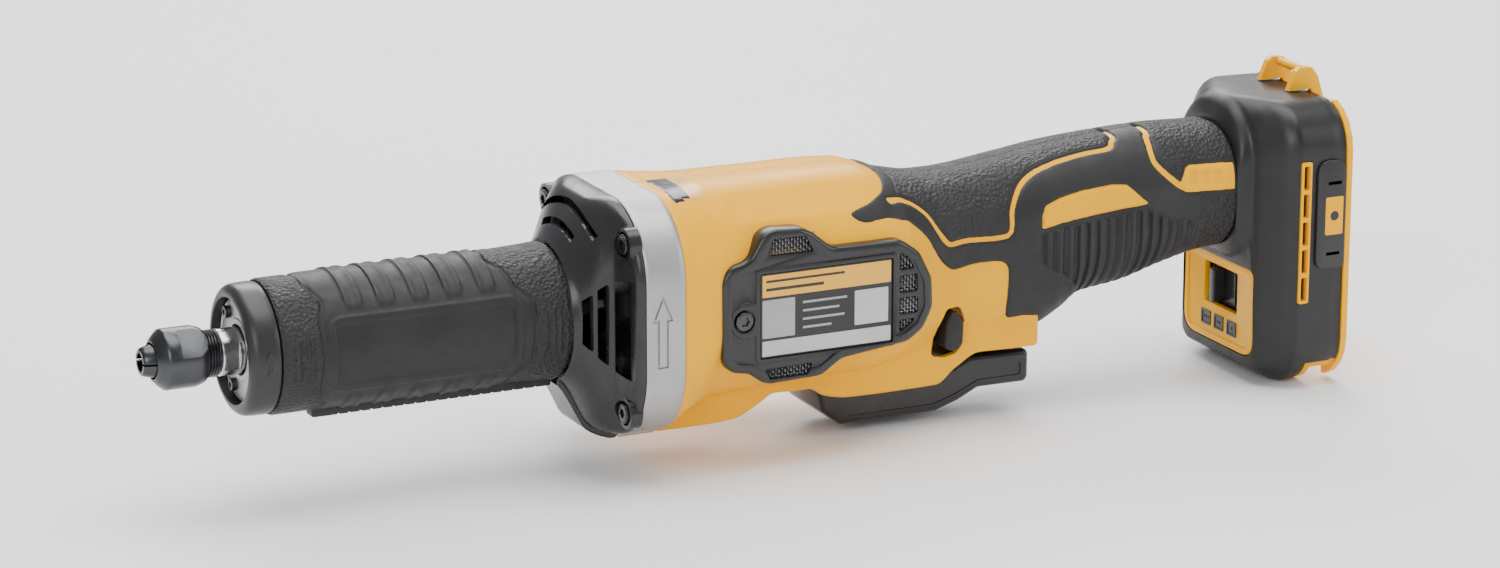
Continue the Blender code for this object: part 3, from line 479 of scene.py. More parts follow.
class Skin:
    """Half of a body's surface as a grid over x and the distance s from its top."""

    def __init__(self, stations, xs, points=SMOOTH_POINTS):
        self.xs = np.asarray(xs, float)
        self.smooth = points
        rows = [half_section(section_fields(stations, x), points) for x in self.xs]
        self.yz = np.array(rows)
        steps = np.linalg.norm(np.diff(self.yz, axis=1), axis=2)
        self.s = np.concatenate((np.zeros((len(rows), 1)), np.cumsum(steps, axis=1)), axis=1)
        tangent = np.gradient(self.yz, axis=1)
        tangent /= np.maximum(np.linalg.norm(tangent, axis=2, keepdims=True), 1e-9)
        self.normal = np.stack((-tangent[..., 1], tangent[..., 0]), axis=-1)
        self.x = np.repeat(self.xs[:, None], self.yz.shape[1], axis=1)

    def across(self, outline):
        """An outline in (x, z) as (x, s) on this skin; above the top s is negative."""
        found = []
        for x, z in outline:
            row = int(np.argmin(abs(self.xs - x)))
            raised = self.yz[row] + self.normal[row] * proud(self.xs[row])
            heights = np.minimum.accumulate(raised[:self.smooth, 1])
            top = heights[0]
            if z > top:
                found.append((x, min(-1.0, top - z)))
            else:
                found.append((x, float(np.interp(-z, -heights, self.s[row, :self.smooth]))))
        return np.array(found)

    def points(self, side, height=0.0):
        """The surface's points on one side, raised along its normals by a height."""
        moved = self.yz + self.normal * np.asarray(height)[..., None]
        y = np.maximum(moved[..., 0], 0.0)
        y[:, 0] = self.yz[:, 0, 0]
        return np.stack((self.x, side * y, moved[..., 1]), axis=-1)

    def shell(self, name, side, height, inside_skin, material):
        """A closed shell whose outside is raised by height."""
        outer = self.points(side, height)
        inner = inside_skin.points(side, 0.0)
        rows, columns = self.x.shape
        points = np.concatenate((outer, inner[:, ::-1]), axis=1)
        faces = list(quads(rows, 2 * columns, False, True))
        for row in (0, (rows - 1)):
            for j in range(columns - 1):
                start = row * 2 * columns
                far = start + 2 * columns - 1
                faces.append((start + j, start + j + 1, far - j - 1, far - j))
        return add_mesh(name, points.reshape(-1, 3), faces, material)

    def overlay(self, name, side, height, under, material, attributes=None):
        """A moulding laid on the skin where its height is above under, as a closed solid."""
        rows, columns = self.x.shape
        faces = quads(rows, columns)
        used = ((height - under).ravel()[faces] > 1e-6).any(axis=1)
        faces = faces[used]
        kept = np.unique(faces)
        number = np.full(rows * columns, -1)
        number[kept] = np.arange(len(kept))
        outer = self.points(side, height).reshape(-1, 3)[kept]
        inner = self.points(side, under - 0.5).reshape(-1, 3)[kept]
        top = number[faces]
        bottom = top[:, ::-1] + len(kept)
        edges = {}
        for face in top:
            for a, b in zip(face, np.roll(face, -1)):
                edges[(a, b)] = True
        walls = [(b, a, a + len(kept), b + len(kept)) for a, b in edges if (b, a) not in edges]
        if attributes:
            attributes = {key: np.tile(values.ravel()[kept], 2) for key, values in attributes.items()}
        return add_mesh(name, np.vstack((outer, inner)), list(top) + list(bottom) + walls, material,
                        attributes)


# ---------------------------------------------------------------- materials

class Finish:
    """A procedural material built up node by node."""

    def __init__(self, name):
        self.material = bpy.data.materials.new(name)
        self.material.use_nodes = True
        self.nodes = self.material.node_tree.nodes
        self.links = self.material.node_tree.links
        self.nodes.clear()
        self.shader = self.nodes.new('ShaderNodeBsdfPrincipled')
        output = self.nodes.new('ShaderNodeOutputMaterial')
        self.links.new(self.shader.outputs[0], output.inputs[0])
        where = self.nodes.new('ShaderNodeTexCoord')
        self.place = where.outputs['Object']

    def set(self, **values):
        for key, value in values.items():
            self.shader.inputs[key.replace('_', ' ')].default_value = value
        return self

    def noise(self, scale, detail=3.0, stretch=(1, 1, 1)):
        """Noise over the piece; a stretch makes brushing or turning marks."""
        spread = self.nodes.new('ShaderNodeVectorMath')
        spread.operation = 'MULTIPLY'
        spread.inputs[1].default_value = stretch
        self.links.new(self.place, spread.inputs[0])
        node = self.nodes.new('ShaderNodeTexNoise')
        node.inputs['Scale'].default_value = scale
        node.inputs['Detail'].default_value = detail
        self.links.new(spread.outputs[0], node.inputs['Vector'])
        return node.outputs[0]

    def cells(self, scale):
        node = self.nodes.new('ShaderNodeTexVoronoi')
        node.inputs['Scale'].default_value = scale
        self.links.new(self.place, node.inputs['Vector'])
        return node.outputs['Distance']

    def mapped(self, value, low, high):
        node = self.nodes.new('ShaderNodeMapRange')
        node.inputs['From Min'].default_value = 0.3
        node.inputs['From Max'].default_value = 0.7
        node.inputs['To Min'].default_value = low
        node.inputs['To Max'].default_value = high
        self.links.new(value, node.inputs['Value'])
        return node.outputs[0]

    def colours(self, value, dark, light):
        node = self.nodes.new('ShaderNodeMix')
        node.data_type = 'RGBA'
        node.inputs[6].default_value = (*dark, 1)
        node.inputs[7].default_value = (*light, 1)
        self.links.new(self.mapped(value, 0.0, 1.0), node.inputs[0])
        self.links.new(node.outputs[2], self.shader.inputs['Base Color'])
        return node.outputs[2]

    def rough(self, value, low, high):
        self.links.new(self.mapped(value, low, high), self.shader.inputs['Roughness'])

    def bump(self, value, depth, strength=1.0, where=None):
        """Relief of a depth in millimetres, all over or where an attribute says."""
        node = self.nodes.new('ShaderNodeBump')
        node.inputs['Strength'].default_value = strength
        node.inputs['Distance'].default_value = depth * 0.001
        if where:
            mask = self.nodes.new('ShaderNodeAttribute')
            mask.attribute_name = where
            product = self.nodes.new('ShaderNodeMath')
            product.operation = 'MULTIPLY'
            self.links.new(value, product.inputs[0])
            self.links.new(mask.outputs['Fac'], product.inputs[1])
            value = product.outputs[0]
        self.links.new(value, node.inputs['Height'])
        previous = self.shader.inputs['Normal']
        if previous.is_linked:
            self.links.new(previous.links[0].from_socket, node.inputs['Normal'])
        self.links.new(node.outputs[0], previous)
        return self


def plastic(name, dark, light, low, high, grain=900.0, depth=0.03, specular=0.5, tint=(1, 1, 1)):
    """Moulded plastic: fine spark-eroded grain, slight cloudiness and handling wear."""
    made = Finish(name).set(IOR=1.48)
    made.shader.inputs['Specular IOR Level'].default_value = specular
    made.shader.inputs['Specular Tint'].default_value = (*tint, 1)
    made.colours(made.noise(38.0, 4.0), dark, light)
    made.rough(made.noise(140.0, 5.0), low, high)
    made.bump(made.noise(grain, 2.0), depth, 0.35)
    return made.material


def metal(name, dark, light, low, high, stretch, depth=0.02, scale=500.0):
    """Machined or cast metal: tool marks along the stretch and cloudy sheen."""
    made = Finish(name).set(Metallic=1.0)
    made.colours(made.noise(60.0, 4.0), dark, light)
    made.rough(made.noise(scale, 4.0, stretch), low, high)
    made.bump(made.noise(scale * 1.4, 3.0, stretch), depth, 0.4)
    return made.material


def rubber(name, dark, light):
    """Soft grip rubber; pebbled where the attribute grip is one."""
    made = Finish(name).set(IOR=1.45)
    made.shader.inputs['Specular IOR Level'].default_value = 0.4
    made.colours(made.noise(70.0, 5.0), dark, light)
    made.rough(made.noise(220.0, 4.0), 0.48, 0.62)
    made.bump(made.noise(1500.0, 2.0), 0.02, 0.3)
    made.bump(made.cells(760.0), 0.55, 1.0, "grip")
    return made.material


def striped(name, dark, light, pitch, low, high):
    """A surface with fine parallel bands, as on windings, laminations and boards."""
    made = Finish(name)
    made.colours(made.noise(1.0 / (pitch * 0.001), 2.0, (1.0, 0.05, 0.05)), dark, light)
    made.rough(made.noise(300.0, 3.0), low, high)
    made.bump(made.noise(1.0 / (pitch * 0.001), 1.0, (1.0, 0.05, 0.05)), 0.15, 0.6)
    return made


YELLOW = plastic("yellow_moulding", (0.92, 0.42, 0.0), (0.95, 0.45, 0.0), 0.30, 0.40,
                 specular=0.25, tint=(1.0, 0.66, 0.10))
BLACK = plastic("black_moulding", (0.012, 0.012, 0.0125), (0.018, 0.018, 0.019), 0.30, 0.42)
FOOT_BLACK = plastic("foot_moulding", (0.006, 0.006, 0.0063), (0.009, 0.009, 0.0093), 0.36, 0.48)
SATIN_BLACK = plastic("satin_moulding", (0.013, 0.013, 0.0135), (0.019, 0.019, 0.020), 0.24, 0.34)
PADDLE_BLACK = plastic("paddle_moulding", (0.009, 0.009, 0.0095), (0.014, 0.014, 0.015), 0.18, 0.28,
                       1400.0, 0.015)
CAP_BLACK = plastic("cap_moulding", (0.013, 0.013, 0.0135), (0.018, 0.018, 0.019), 0.34, 0.46)
GRIP = rubber("grip_rubber", (0.015, 0.015, 0.0155), (0.022, 0.022, 0.0225))
BOOT = rubber("boot_rubber", (0.015, 0.015, 0.0155), (0.021, 0.021, 0.0215))
ALUMINIUM = metal("blasted_aluminium", (0.40, 0.40, 0.405), (0.47, 0.47, 0.475), 0.44, 0.56,
                  (1, 1, 1), 0.05, 1600.0)
STEEL = metal("ground_steel", (0.50, 0.50, 0.505), (0.60, 0.60, 0.61), 0.16, 0.26,
              (60.0, 1.0, 1.0))
DARK_STEEL = metal("blackened_steel", (0.055, 0.057, 0.06), (0.085, 0.087, 0.09), 0.24, 0.36,
                   (30.0, 1.0, 1.0))
NUT_STEEL = metal("nut_steel", (0.050, 0.051, 0.054), (0.080, 0.081, 0.085), 0.28, 0.38,
                  (20.0, 1.0, 1.0))
MESH_METAL = metal("woven_mesh", (0.20, 0.20, 0.205), (0.32, 0.32, 0.325), 0.34, 0.5, (1, 1, 1))
BRASS = metal("contact_brass", (0.55, 0.36, 0.13), (0.66, 0.45, 0.18), 0.22, 0.34, (1, 20, 1))
COPPER = striped("enamelled_copper", (0.36, 0.10, 0.03), (0.58, 0.20, 0.07), 0.8, 0.25, 0.4)
COPPER.set(Metallic=0.9)
LAMINATION = striped("steel_laminations", (0.20, 0.20, 0.21), (0.34, 0.34, 0.35), 0.5, 0.3, 0.5)
LAMINATION.set(Metallic=1.0)
BOARD = striped("circuit_board", (0.010, 0.075, 0.03), (0.02, 0.12, 0.05), 2.2, 0.3, 0.45)
LABEL_DARK = plastic("label_dark", (0.010, 0.010, 0.011), (0.015, 0.015, 0.016), 0.20, 0.28)
LABEL_SILVER = metal("label_silver", (0.42, 0.42, 0.43), (0.5, 0.5, 0.51), 0.3, 0.4, (1, 30, 1))
LABEL_YELLOW = plastic("label_yellow", (0.80, 0.40, 0.03), (0.83, 0.43, 0.04), 0.2, 0.28)
LABEL_GREY = plastic("label_grey", (0.30, 0.30, 0.30), (0.36, 0.36, 0.36), 0.3, 0.4)


# ---------------------------------------------------------------- camera, light and floor

def place_camera():
    """The tool seen from its left, a little from behind the collet and from above."""
    turn, lift, roll = 0.449206, 0.276001, 0.00149
    right = np.array((math.cos(turn), -math.sin(turn), 0.0))
    forward = np.array((math.sin(turn) * math.cos(lift), math.cos(turn) * math.cos(lift),
                        -math.sin(lift)))
    up = np.cross(right, forward)
    across = right * math.cos(roll) + up * math.sin(roll)
    above = up * math.cos(roll) - right * math.sin(roll)
    eye = metres((-516.584, -1449.466, 455.475))
    data = bpy.data.cameras.new("camera")
    data.lens = 114.49
    data.sensor_width = 36.0
    data.clip_start = 0.05
    data.clip_end = 50.0
    made = bpy.data.objects.new("camera", data)
    columns = np.column_stack((across, above, -forward))
    matrix = Matrix(columns.tolist()).to_4x4()
    matrix.translation = Vector(eye.tolist())
    made.matrix_world = matrix
    bpy.context.scene.collection.objects.link(made)
    bpy.context.scene.camera = made


def area_light(name, place, aim, size, power, colour=(1, 1, 1)):
    data = bpy.data.lights.new(name, 'AREA')
    data.shape = 'RECTANGLE'
    data.size, data.size_y = size
    data.energy = power
    data.color = colour
    made = bpy.data.objects.new(name, data)
    made.location = place
    made.rotation_euler = (Vector(aim) - Vector(place)).to_track_quat('-Z', 'Y').to_euler()
    bpy.context.scene.collection.objects.link(made)


def light_and_floor():
    """A plain pale floor under soft studio light."""
    area_light("top_light", (0.1, 0.1, 1.5), (0, 0, 0.05), (1.7, 1.2), 34.0)
    area_light("front_light", (-1.3, -1.5, 1.0), (0, 0, 0.05), (1.2, 1.0), 20.0)
    area_light("side_light", (1.5, -1.1, 0.8), (0.05, 0, 0.05), (0.6, 1.0), 9.0)
    area_light("back_light", (0.5, 1.5, 1.1), (0, 0, 0.05), (1.4, 0.7), 28.0)
    world = bpy.data.worlds.new("studio")
    world.use_nodes = True
    background = world.node_tree.nodes['Background']
    background.inputs[0].default_value = (0.95, 0.96, 1.0, 1)
    background.inputs[1].default_value = 0.45
    bpy.context.scene.world = world
    finish = Finish("studio_floor").set(IOR=1.3)
    finish.colours(finish.noise(3.0, 2.0), (0.93, 0.93, 0.93), (0.95, 0.95, 0.95))
    finish.rough(finish.noise(20.0, 2.0), 0.75, 0.85)
    mesh = bpy.data.meshes.new("floor")
    level = CAD_LOW.z - 0.0002
    corners = [(-6, -6, level), (6, -6, level), (6, 6, level), (-6, 6, level)]
    mesh.from_pydata(corners, [], [(0, 1, 2, 3)])
    made = bpy.data.objects.new("floor", mesh)
    bpy.context.scene.collection.objects.link(made)
    mesh.materials.append(finish.material)


# ---------------------------------------------------------------- the front end

def helix(x, angle, pitch, flank=0.3):
    """A thread's profile, 0 in the root and 1 on the crest."""
    phase = (x / pitch - angle / (2 * math.pi)) % 1.0
    return np.clip((0.5 - abs(phase - 0.5) - flank * 0.4) / flank, 0.0, 1.0)


def cylinder(name, axis, centre, radius, low, high, material, count=48, edge=0.0):
    return prism(name, circle(centre, radius, count), axis, low, high, material, edge)


def socket(made, axis_x, centre, radius, depth, points=6):
    """Sinks a star-shaped drive into a screw head that faces -X or sideways."""
    turns = 2 * math.pi * np.arange(points * 2) / (points * 2)
    reach = np.where(np.arange(points * 2) % 2 == 0, radius, radius * 0.74)
    star = np.column_stack((centre[0] + reach * np.cos(turns), centre[1] + reach * np.sin(turns)))
    cutter = prism("drive", star, axis_x, depth[0], depth[1], DARK_STEEL)
    return combined(made, [cutter])


def make_spindle():
    """Polished spindle with flats, and the blackened thread that takes the nut."""
    profile = [(-31.0, 6.0), (-30.6, 6.6), (-16.2, 6.6), (-15.8, 7.2), (-15.2, 8.0)]
    profile += [(-6.0, 8.0), (-6.0, 7.2), (8.0, 7.2), (8.0, 6.4), (88.0, 6.4), (88.0, 4.7),
                (99.0, 4.7), (99.0, 3.6), (108.0, 3.6), (108.0, 2.0), (-12.0, 2.6), (-12.0, 4.6)]
    shaft = turned("fine_spindle", profile, STEEL)
    flats = [block("flat", (-14.4, side * 9.2 - 2.7, -12.0), (-9.4, side * 9.2 + 2.7, 12.0), STEEL)
             for side in SIDES_Y]
    combined(shaft, flats)
    settle(bevelled(shaft, 0.18, 2), "spindle", "polished_steel", "spindle")
    xs = np.arange(-30.2, -15.9, 0.125)
    rim = [(x, 7.45) for x in xs]
    inner = [(-15.9, 6.62), (-30.2, 6.62)]

    def thread(x, angle, radius):
        return np.where(radius > 7.0, 0.68 * helix(x, angle, 1.0), 0.0)

    made = turned("spindle_thread", rim + inner, DARK_STEEL, 72, thread, 60.0)
    settle(made, "spindle", "dark_steel")


def make_collet():
    """Split collet: a tapered nose with four slits."""
    profile = [(-42.0, 3.15), (-42.0, 4.2), (-41.6, 4.7), (-40.6, 5.05), (-37.6, 5.8), (-35.4, 5.8),
               (-34.7, 6.8), (-32.0, 6.8), (-31.3, 6.1), (-14.0, 4.1), (-13.0, 3.9), (-13.0, 3.15)]
    made = turned("fine_collet", profile, DARK_STEEL, 72)
    slits = [block("slit_a", (-50, -9, -0.35), (-20, 9, 0.35), DARK_STEEL),
             block("slit_b", (-50, -0.35, -9), (-20, 0.35, 9), DARK_STEEL)]
    settle(combined(made, slits), "collet", "dark_steel", "collet")


def make_nut():
    """Collet nut with two wrench flats."""
    profile = [(-38.0, 6.3), (-38.0, 6.75)]
    turns = np.linspace(0.0, 1.0, 8)
    profile += [(-37.6 + 3.0 * t, 7.4 + 2.9 * t ** 0.85) for t in turns]
    profile += [(-34.0, 10.42), (-24.4, 10.42), (-23.6, 10.3), (-21.2, 9.5), (-20.8, 9.2)]
    profile += [(-20.8, 8.55), (-31.6, 8.45), (-31.6, 7.3), (-34.9, 7.3), (-35.7, 6.3)]
    made = turned("fine_nut", profile, NUT_STEEL)
    flats = []
    for turn in (45, 225):
        flat = block("nut_flat", (-30.2, -12.0, 8.85), (-20.0, 12.0, 14.0), NUT_STEEL)
        spin = Matrix.Rotation(math.radians(turn), 4, 'X')
        centre = Matrix.Translation(Vector(metres((0, 0, 0)).tolist()))
        flat.data.transform(centre @ spin @ centre.inverted())
        flats.append(flat)
    made = bevelled(combined(made, flats), 0.25, 2)
    settle(made, "collet_nut", "dark_steel", "collet_nut")


def make_nose_cap():
    """Rounded cap round the nose, with a raised arrow on its left."""
    turns = np.linspace(0.0, math.pi / 2, 10)
    profile = [(-0.3, 22.2), (-1.4, 22.5), (-2.2, 22.6), (-5.4, 22.5)]
    profile += [(-7.0 - 3.6 * math.sin(t), 19.0 + 3.4 * math.cos(t)) for t in turns]
    profile += [(-10.6, 18.5), (-10.4, 18.2), (-8.2, 18.1), (-0.3, 18.1)]
    made = turned("fine_nose_cap", profile, CAP_BLACK, 120)
    arrow = rounded([(-5.9, 1.2), (-4.3, 4.6), (-2.6, 1.2), (-3.5, 1.2), (-3.5, -3.6), (-5.0, -3.6),
                     (-5.0, 1.2)], 0.15, 2)
    outline = raised_arrow("nose_arrow", arrow, -22.65, -21.8, CAP_BLACK)
    settle(joined("fine_nose_cap", [made, outline]), "root", "black_plastic", "nose_cap")


def raised_arrow(name, outline, low, high, material):
    """An arrow's outline as a thin raised line."""
    made = prism(name, outline, "Y", low, high, material)
    centre = outline.mean(axis=0)
    inner = centre + (outline - centre) * 0.62
    return combined(made, [prism("core", inner, "Y", low - 1, low + 0.45, material)])


def make_retainer():
    """Grey plate that holds the front bearing, with its three screws."""
    profile = [(-7.6, 8.8), (-7.6, 10.4), (-7.2, 10.8), (-7.2, 16.8), (-7.6, 17.2), (-7.4, 17.5),
               (-5.2, 17.6), (-5.2, 8.6)]
    plate = turned("fine_retainer", profile, ALUMINIUM, 96)
    settle(plate, "root", "polished_steel", "bearing_retainer")
    for i in range(3):
        turn = math.radians(50 + 120 * i)
        centre = (14.2 * math.cos(turn), 14.2 * math.sin(turn))
        head = cylinder("fine_retainer_screw_%d" % (i + 1), "X", centre, 2.2, -9.1, -6.0, DARK_STEEL,
                        32, 0.25)
        socket(head, "X", centre, 1.2, (-10.0, -8.2))
        settle(head, "root", "dark_steel", "retainer_screw_%d" % (i + 1))


BOOT_RIBS = ((23.5, 31.4), (35.1, 43.0), (47.1, 55.0), (59.3, 67.2), (71.3, 79.2))
BOOT_PANEL = ((19.7, -1.0), (84.0, -1.0), (84.0, 10.2), (82.6, 11.2), (21.1, 11.2), (19.7, 10.2))
BOOT_SEAMS = (((11.6, 37.0), (12.0, 30.0), (16.6, 20.0), (14.5, 12.5), (14.9, -1.0)),
              ((78.0, 37.0), (78.6, 29.5), (82.7, 24.5), (85.0, 17.0), (90.5, 11.0), (91.0, -1.0)))
LADDER_X = (4.0, 93.2)


def boot_height(x, angle, radius):
    """Ribs over the top and bottom, a plain panel each side and ladders at the ends."""
    side_angle = np.degrees(np.abs((angle + math.pi) % (2 * math.pi) - math.pi))
    side_angle = np.minimum(side_angle, 180.0 - side_angle)
    arc = np.radians(side_angle) * 23.6
    outside = radius > 21.0
    height = np.zeros(x.shape)
    for low, high in BOOT_RIBS:
        middle, half = (low + high) / 2, (high - low) / 2
        reach = half - 0.25 - 0.6 * np.maximum(0.0, 1 - (arc - 17.0) / 4.0) ** 2
        inner = ramp(arc, 15.2, 17.4)
        height += 0.62 * inner * ramp(reach - abs(x - middle), 0.0, 0.8)
        height -= 0.30 * inner * ramp(half - 2.2 - abs(x - middle), 0.0, 0.8)
    panel = depth_inside(x, arc, BOOT_PANEL)
    height -= 0.75 * ramp(panel, 0.0, 0.7)
    height += 0.35 * ramp(1.0 - abs(panel + 1.7), 0.0, 0.7)
    for seam in BOOT_SEAMS:
        height -= 0.55 * ramp(1.1 - distance_to_line(x, arc, seam), 0.0, 0.7)
    for low in LADDER_X:
        rung = (abs((x - low) % 2.6 - 1.3) < 0.65) & (x > low) & (x < low + 7.8)
        height += np.where(rung & (arc < 8.0), 0.4, 0.0)
    return np.where(outside, height, 0.0)


def make_boot():
    """Soft boot over the nose tube; its bands front and rear are pebbled."""
    xs = np.arange(0.3, 104.01, 0.55)
    base_x = (0.3, 1.4, 14.0, 15.0, 84.0, 85.0, 96.0, 102.6, 104.0)
    base_r = (22.7, 23.2, 23.2, 23.5, 23.5, 23.3, 23.7, 24.1, 23.6)
    profile = [(x, float(np.interp(x, base_x, base_r))) for x in xs]
    profile += [(104.0, 19.2), (0.3, 19.2)]
    facets = 220
    angles = 2 * math.pi * np.arange(facets) / facets
    x, angle = np.meshgrid([p[0] for p in profile], angles, indexing="ij")
    side_angle = np.degrees(np.abs((angle + math.pi) % (2 * math.pi) - math.pi))
    arc = np.radians(np.minimum(side_angle, 180.0 - side_angle)) * 23.6
    front = np.interp(arc, (0.0, 12.0, 20.0, 30.0), (14.9, 14.5, 16.6, 12.0))
    rear = np.interp(arc, (0.0, 11.0, 17.0, 24.5, 30.0), (91.0, 90.5, 85.0, 82.7, 78.6))
    grip = np.maximum(1 - ramp(x, front - 1.2, front - 0.2), ramp(x, rear + 0.2, rear + 1.2))
    made = turned("fine_grip_sleeve", profile, BOOT, facets, boot_height, 40.0,
                  {"grip": grip})
    rib_outline = rounded([(15.0, -8.5), (102.4, -8.5), (102.4, 8.5), (15.0, 8.5), (15.0, 2.5),
                           (19.0, 0.0), (15.0, -2.5)], 1.2, 4)
    rib = prism("rib", rib_outline, "Z", -24.6, -20.6, BOOT, 0.6)
    grooves = [block("groove", (x, -12.0, -26.0), (x + 1.0, 12.0, -24.1), BOOT)
               for x in np.arange(24.0, 98.0, 4.0)]
    rib = combined(rib, grooves)
    settle(joined("fine_grip_sleeve", [made, rib]), "root", "black_rubber", "grip_sleeve")


# ---------------------------------------------------------------- the fan cover and ring

def ring_shell(name, skin, height, inner_skin, material, sharp=36.0):
    """A closed tube between an outer skin and an inner skin, both sides of the tool."""
    loops = []
    for skin_now, raised in ((skin, height), (inner_skin, 0.0)):
        left = skin_now.points(LEFT, raised)
        right = skin_now.points(RIGHT, raised)
        ring = np.concatenate((left, right[:, ::-1]), axis=1)
        loops.append(ring if skin_now is skin else ring[::-1])
    grid = np.concatenate(loops, axis=0)
    faces = quads(grid.shape[0], grid.shape[1], True, True)
    return add_mesh(name, grid.reshape(-1, 3), faces, material, None, sharp)


def thinner(stations, amount):
    """The stations of a wall's inside."""
    return tuple((x, w - amount, t - amount, b + amount, max(u - amount, 2.0), max(low - amount, 2.0),
                  max(k - amount, e + 0.1), kb + amount, e) for x, w, t, b, u, low, k, kb, e in stations)


def make_cover():
    """Trumpet-shaped fan cover with side windows, arc slots and deep screw pockets."""
    xs = np.unique(np.concatenate((np.arange(COVER_FRONT, COVER_REAR, 0.55),
                                   [121.4, 122.6, COVER_REAR])))
    skin = Skin(COVER, xs)
    rim = -0.5 * ramp(abs(skin.x - COVER_REAR), 0.5, 0.0)
    inner = Skin(thinner(COVER, 2.6), np.concatenate((np.arange(105.4, 122.9, 1.1), [COVER_REAR])))
    made = ring_shell("fine_front_cover", skin, rim, inner, SATIN_BLACK)
    lugs = [cylinder("lug", "X", centre, 5.6, 118.6, 123.15, SATIN_BLACK) for centre in corners()]
    combined(made, lugs, 'UNION')
    cutters = []
    for across, up in corners():
        cutters.append(cylinder("pocket", "X", (across, up), 4.4, 100.0, 120.4, SATIN_BLACK))
        away = math.hypot(across, up)
        wide = (across * (1 + 3.4 / away), up * (1 + 3.4 / away))
        cutters.append(cylinder("scoop", "X", wide, 6.4, 100.0, 118.8, SATIN_BLACK))
        cutters.append(cylinder("hole", "X", (across, up), 2.2, 119.0, 126.0, SATIN_BLACK))
    for side in SIDES_Y:
        low, high = span(side, 18.0, 60.0)
        for start, end in ((107.0, 110.6), (112.0, 115.4), (116.8, 120.0)):
            cutters.append(prism("window", window_strip(start, end), "Y", low, high, SATIN_BLACK))
    cutters.append(arc_slot(30.6, 25.0))
    cutters.append(arc_slot(37.4, 37.0))
    combined(made, cutters)
    settle(bevelled(made, 0.3, 2, 40.0), "root", "black_plastic", "front_cover")


def window_strip(low, high):
    """The part of a side window between two x positions, as an outline."""
    ends = (107.6, 112.4, 119.4)
    top = [float(np.interp(x, ends, (9.0, 13.0, 18.0))) for x in (low, high)]
    bottom = [float(np.interp(x, ends, (-6.0, -11.5, -18.0))) for x in (low, high)]
    return rounded([(low, bottom[0]), (high, bottom[1]), (high, top[1]), (low, top[0])], 0.7, 3)


SLOT_HALF = 1.2                # half the width of an arc slot


def arc_slot(radius, spread):
    """Cutter for one curved slot in the cover's upper front face, spread degrees each way."""
    turns = np.radians(np.linspace(90 - spread, 90 + spread, 22))
    outer, inner = [np.column_stack((reach * np.cos(turns), reach * np.sin(turns)))
                    for reach in (radius + SLOT_HALF, radius - SLOT_HALF)]
    return prism("arc_slot", np.vstack((outer, inner[::-1])), "X", 106.4, 121.0, SATIN_BLACK)


def corners():
    """The four screw places as (y, z)."""
    return [(y * 33.3, z * 29.8) for y in SIDES_Y for z in SIDES_Y]


def make_cover_screws():
    """Socket-head screws at the cover's corners."""
    for i, centre in enumerate(corners()):
        head = cylinder("fine_cover_screw_%d" % (i + 1), "X", centre, 3.6, 117.8, 120.4, PADDLE_BLACK,
                        40, 0.45)
        socket(head, "X", centre, 2.0, (116.0, 118.9))
        settle(head, "root", "dark_steel", "cover_screw_%d" % (i + 1))


def make_ring():
    """Bead-blasted aluminium ring with an engraved arrow on each side."""
    xs = np.array([RING_FRONT, 123.8, 124.4] + list(np.arange(125.0, 136.6, 1.0))
                  + [137.2, 137.7, RING_REAR])
    fields = (42.0, 42.0, -42.0, 27.0, 27.0, 16.8, -44.0, 0.0)
    stations = ((RING_FRONT, *fields), (RING_REAR, *fields))
    skin = Skin(stations, xs)
    edge = np.minimum(skin.x - RING_FRONT, RING_REAR - skin.x)
    inner = Skin(thinner(stations, 7.0), np.array([RING_FRONT, 130.0, RING_REAR]))
    made = ring_shell("fine_bearing_plate", skin, -0.45 * ramp(edge, 0.9, 0.0), inner, ALUMINIUM)
    arrow = np.array([(125.4, 3.4), (129.3, 12.6), (133.2, 3.4), (131.4, 3.4), (131.4, -13.0),
                      (127.2, -13.0), (127.2, 3.4)])
    combined(made, [arrow_groove(arrow, side) for side in SIDES_Y])
    settle(made, "root", "cast_aluminium", "bearing_plate")


def arrow_groove(arrow, side):
    """Cutter for an arrow's outline in the ring's side."""
    low, high = span(side, 41.3, 43.0)
    made = prism("arrow", rounded(arrow, 0.3, 2), "Y", low, high, ALUMINIUM)
    inner = offset_outline(arrow, -0.85)
    return combined(made, [prism("arrow_core", inner, "Y", low - 1, high + 1, ALUMINIUM)])


def offset_outline(corners_now, amount):
    """An outline of straight edges grown by an amount, or shrunk by a negative one."""
    points = np.asarray(corners_now, float)
    area = np.sum(points[:, 0] * np.roll(points[:, 1], -1) - points[:, 1] * np.roll(points[:, 0], -1))
    before = points - np.roll(points, 1, axis=0)
    after = np.roll(points, -1, axis=0) - points
    turn = 1 if area > 0 else -1
    first = turn * np.column_stack((before[:, 1], -before[:, 0]))
    second = turn * np.column_stack((after[:, 1], -after[:, 0]))
    first /= np.linalg.norm(first, axis=1, keepdims=True)
    second /= np.linalg.norm(second, axis=1, keepdims=True)
    both = first + second
    scale = np.maximum(np.sum(both * first, axis=1, keepdims=True), 0.35)
    return points + both / scale * amount


# ---------------------------------------------------------------- housings and rubber

def proud(x):
    """How far the rubber stands above the housing's line: nothing on the hump."""
    return 2.3 * ramp(x, 222.0, 239.0)


def facet(skin):
    """The flat planed along the hump's shoulder, as a height below the round."""
    turn = np.degrees(np.arctan2(skin.yz[..., 1] - 10.2, skin.yz[..., 0] - 5.6))
    bow = 31.0 * (np.cos(np.radians(12.3)) / np.cos(np.radians(np.clip(turn - 53.2, -12.3, 12.3))) - 1)
    along = ramp(skin.x, 160.0, 166.0) * (1 - ramp(skin.x, 204.0, 216.0))
    return bow * along


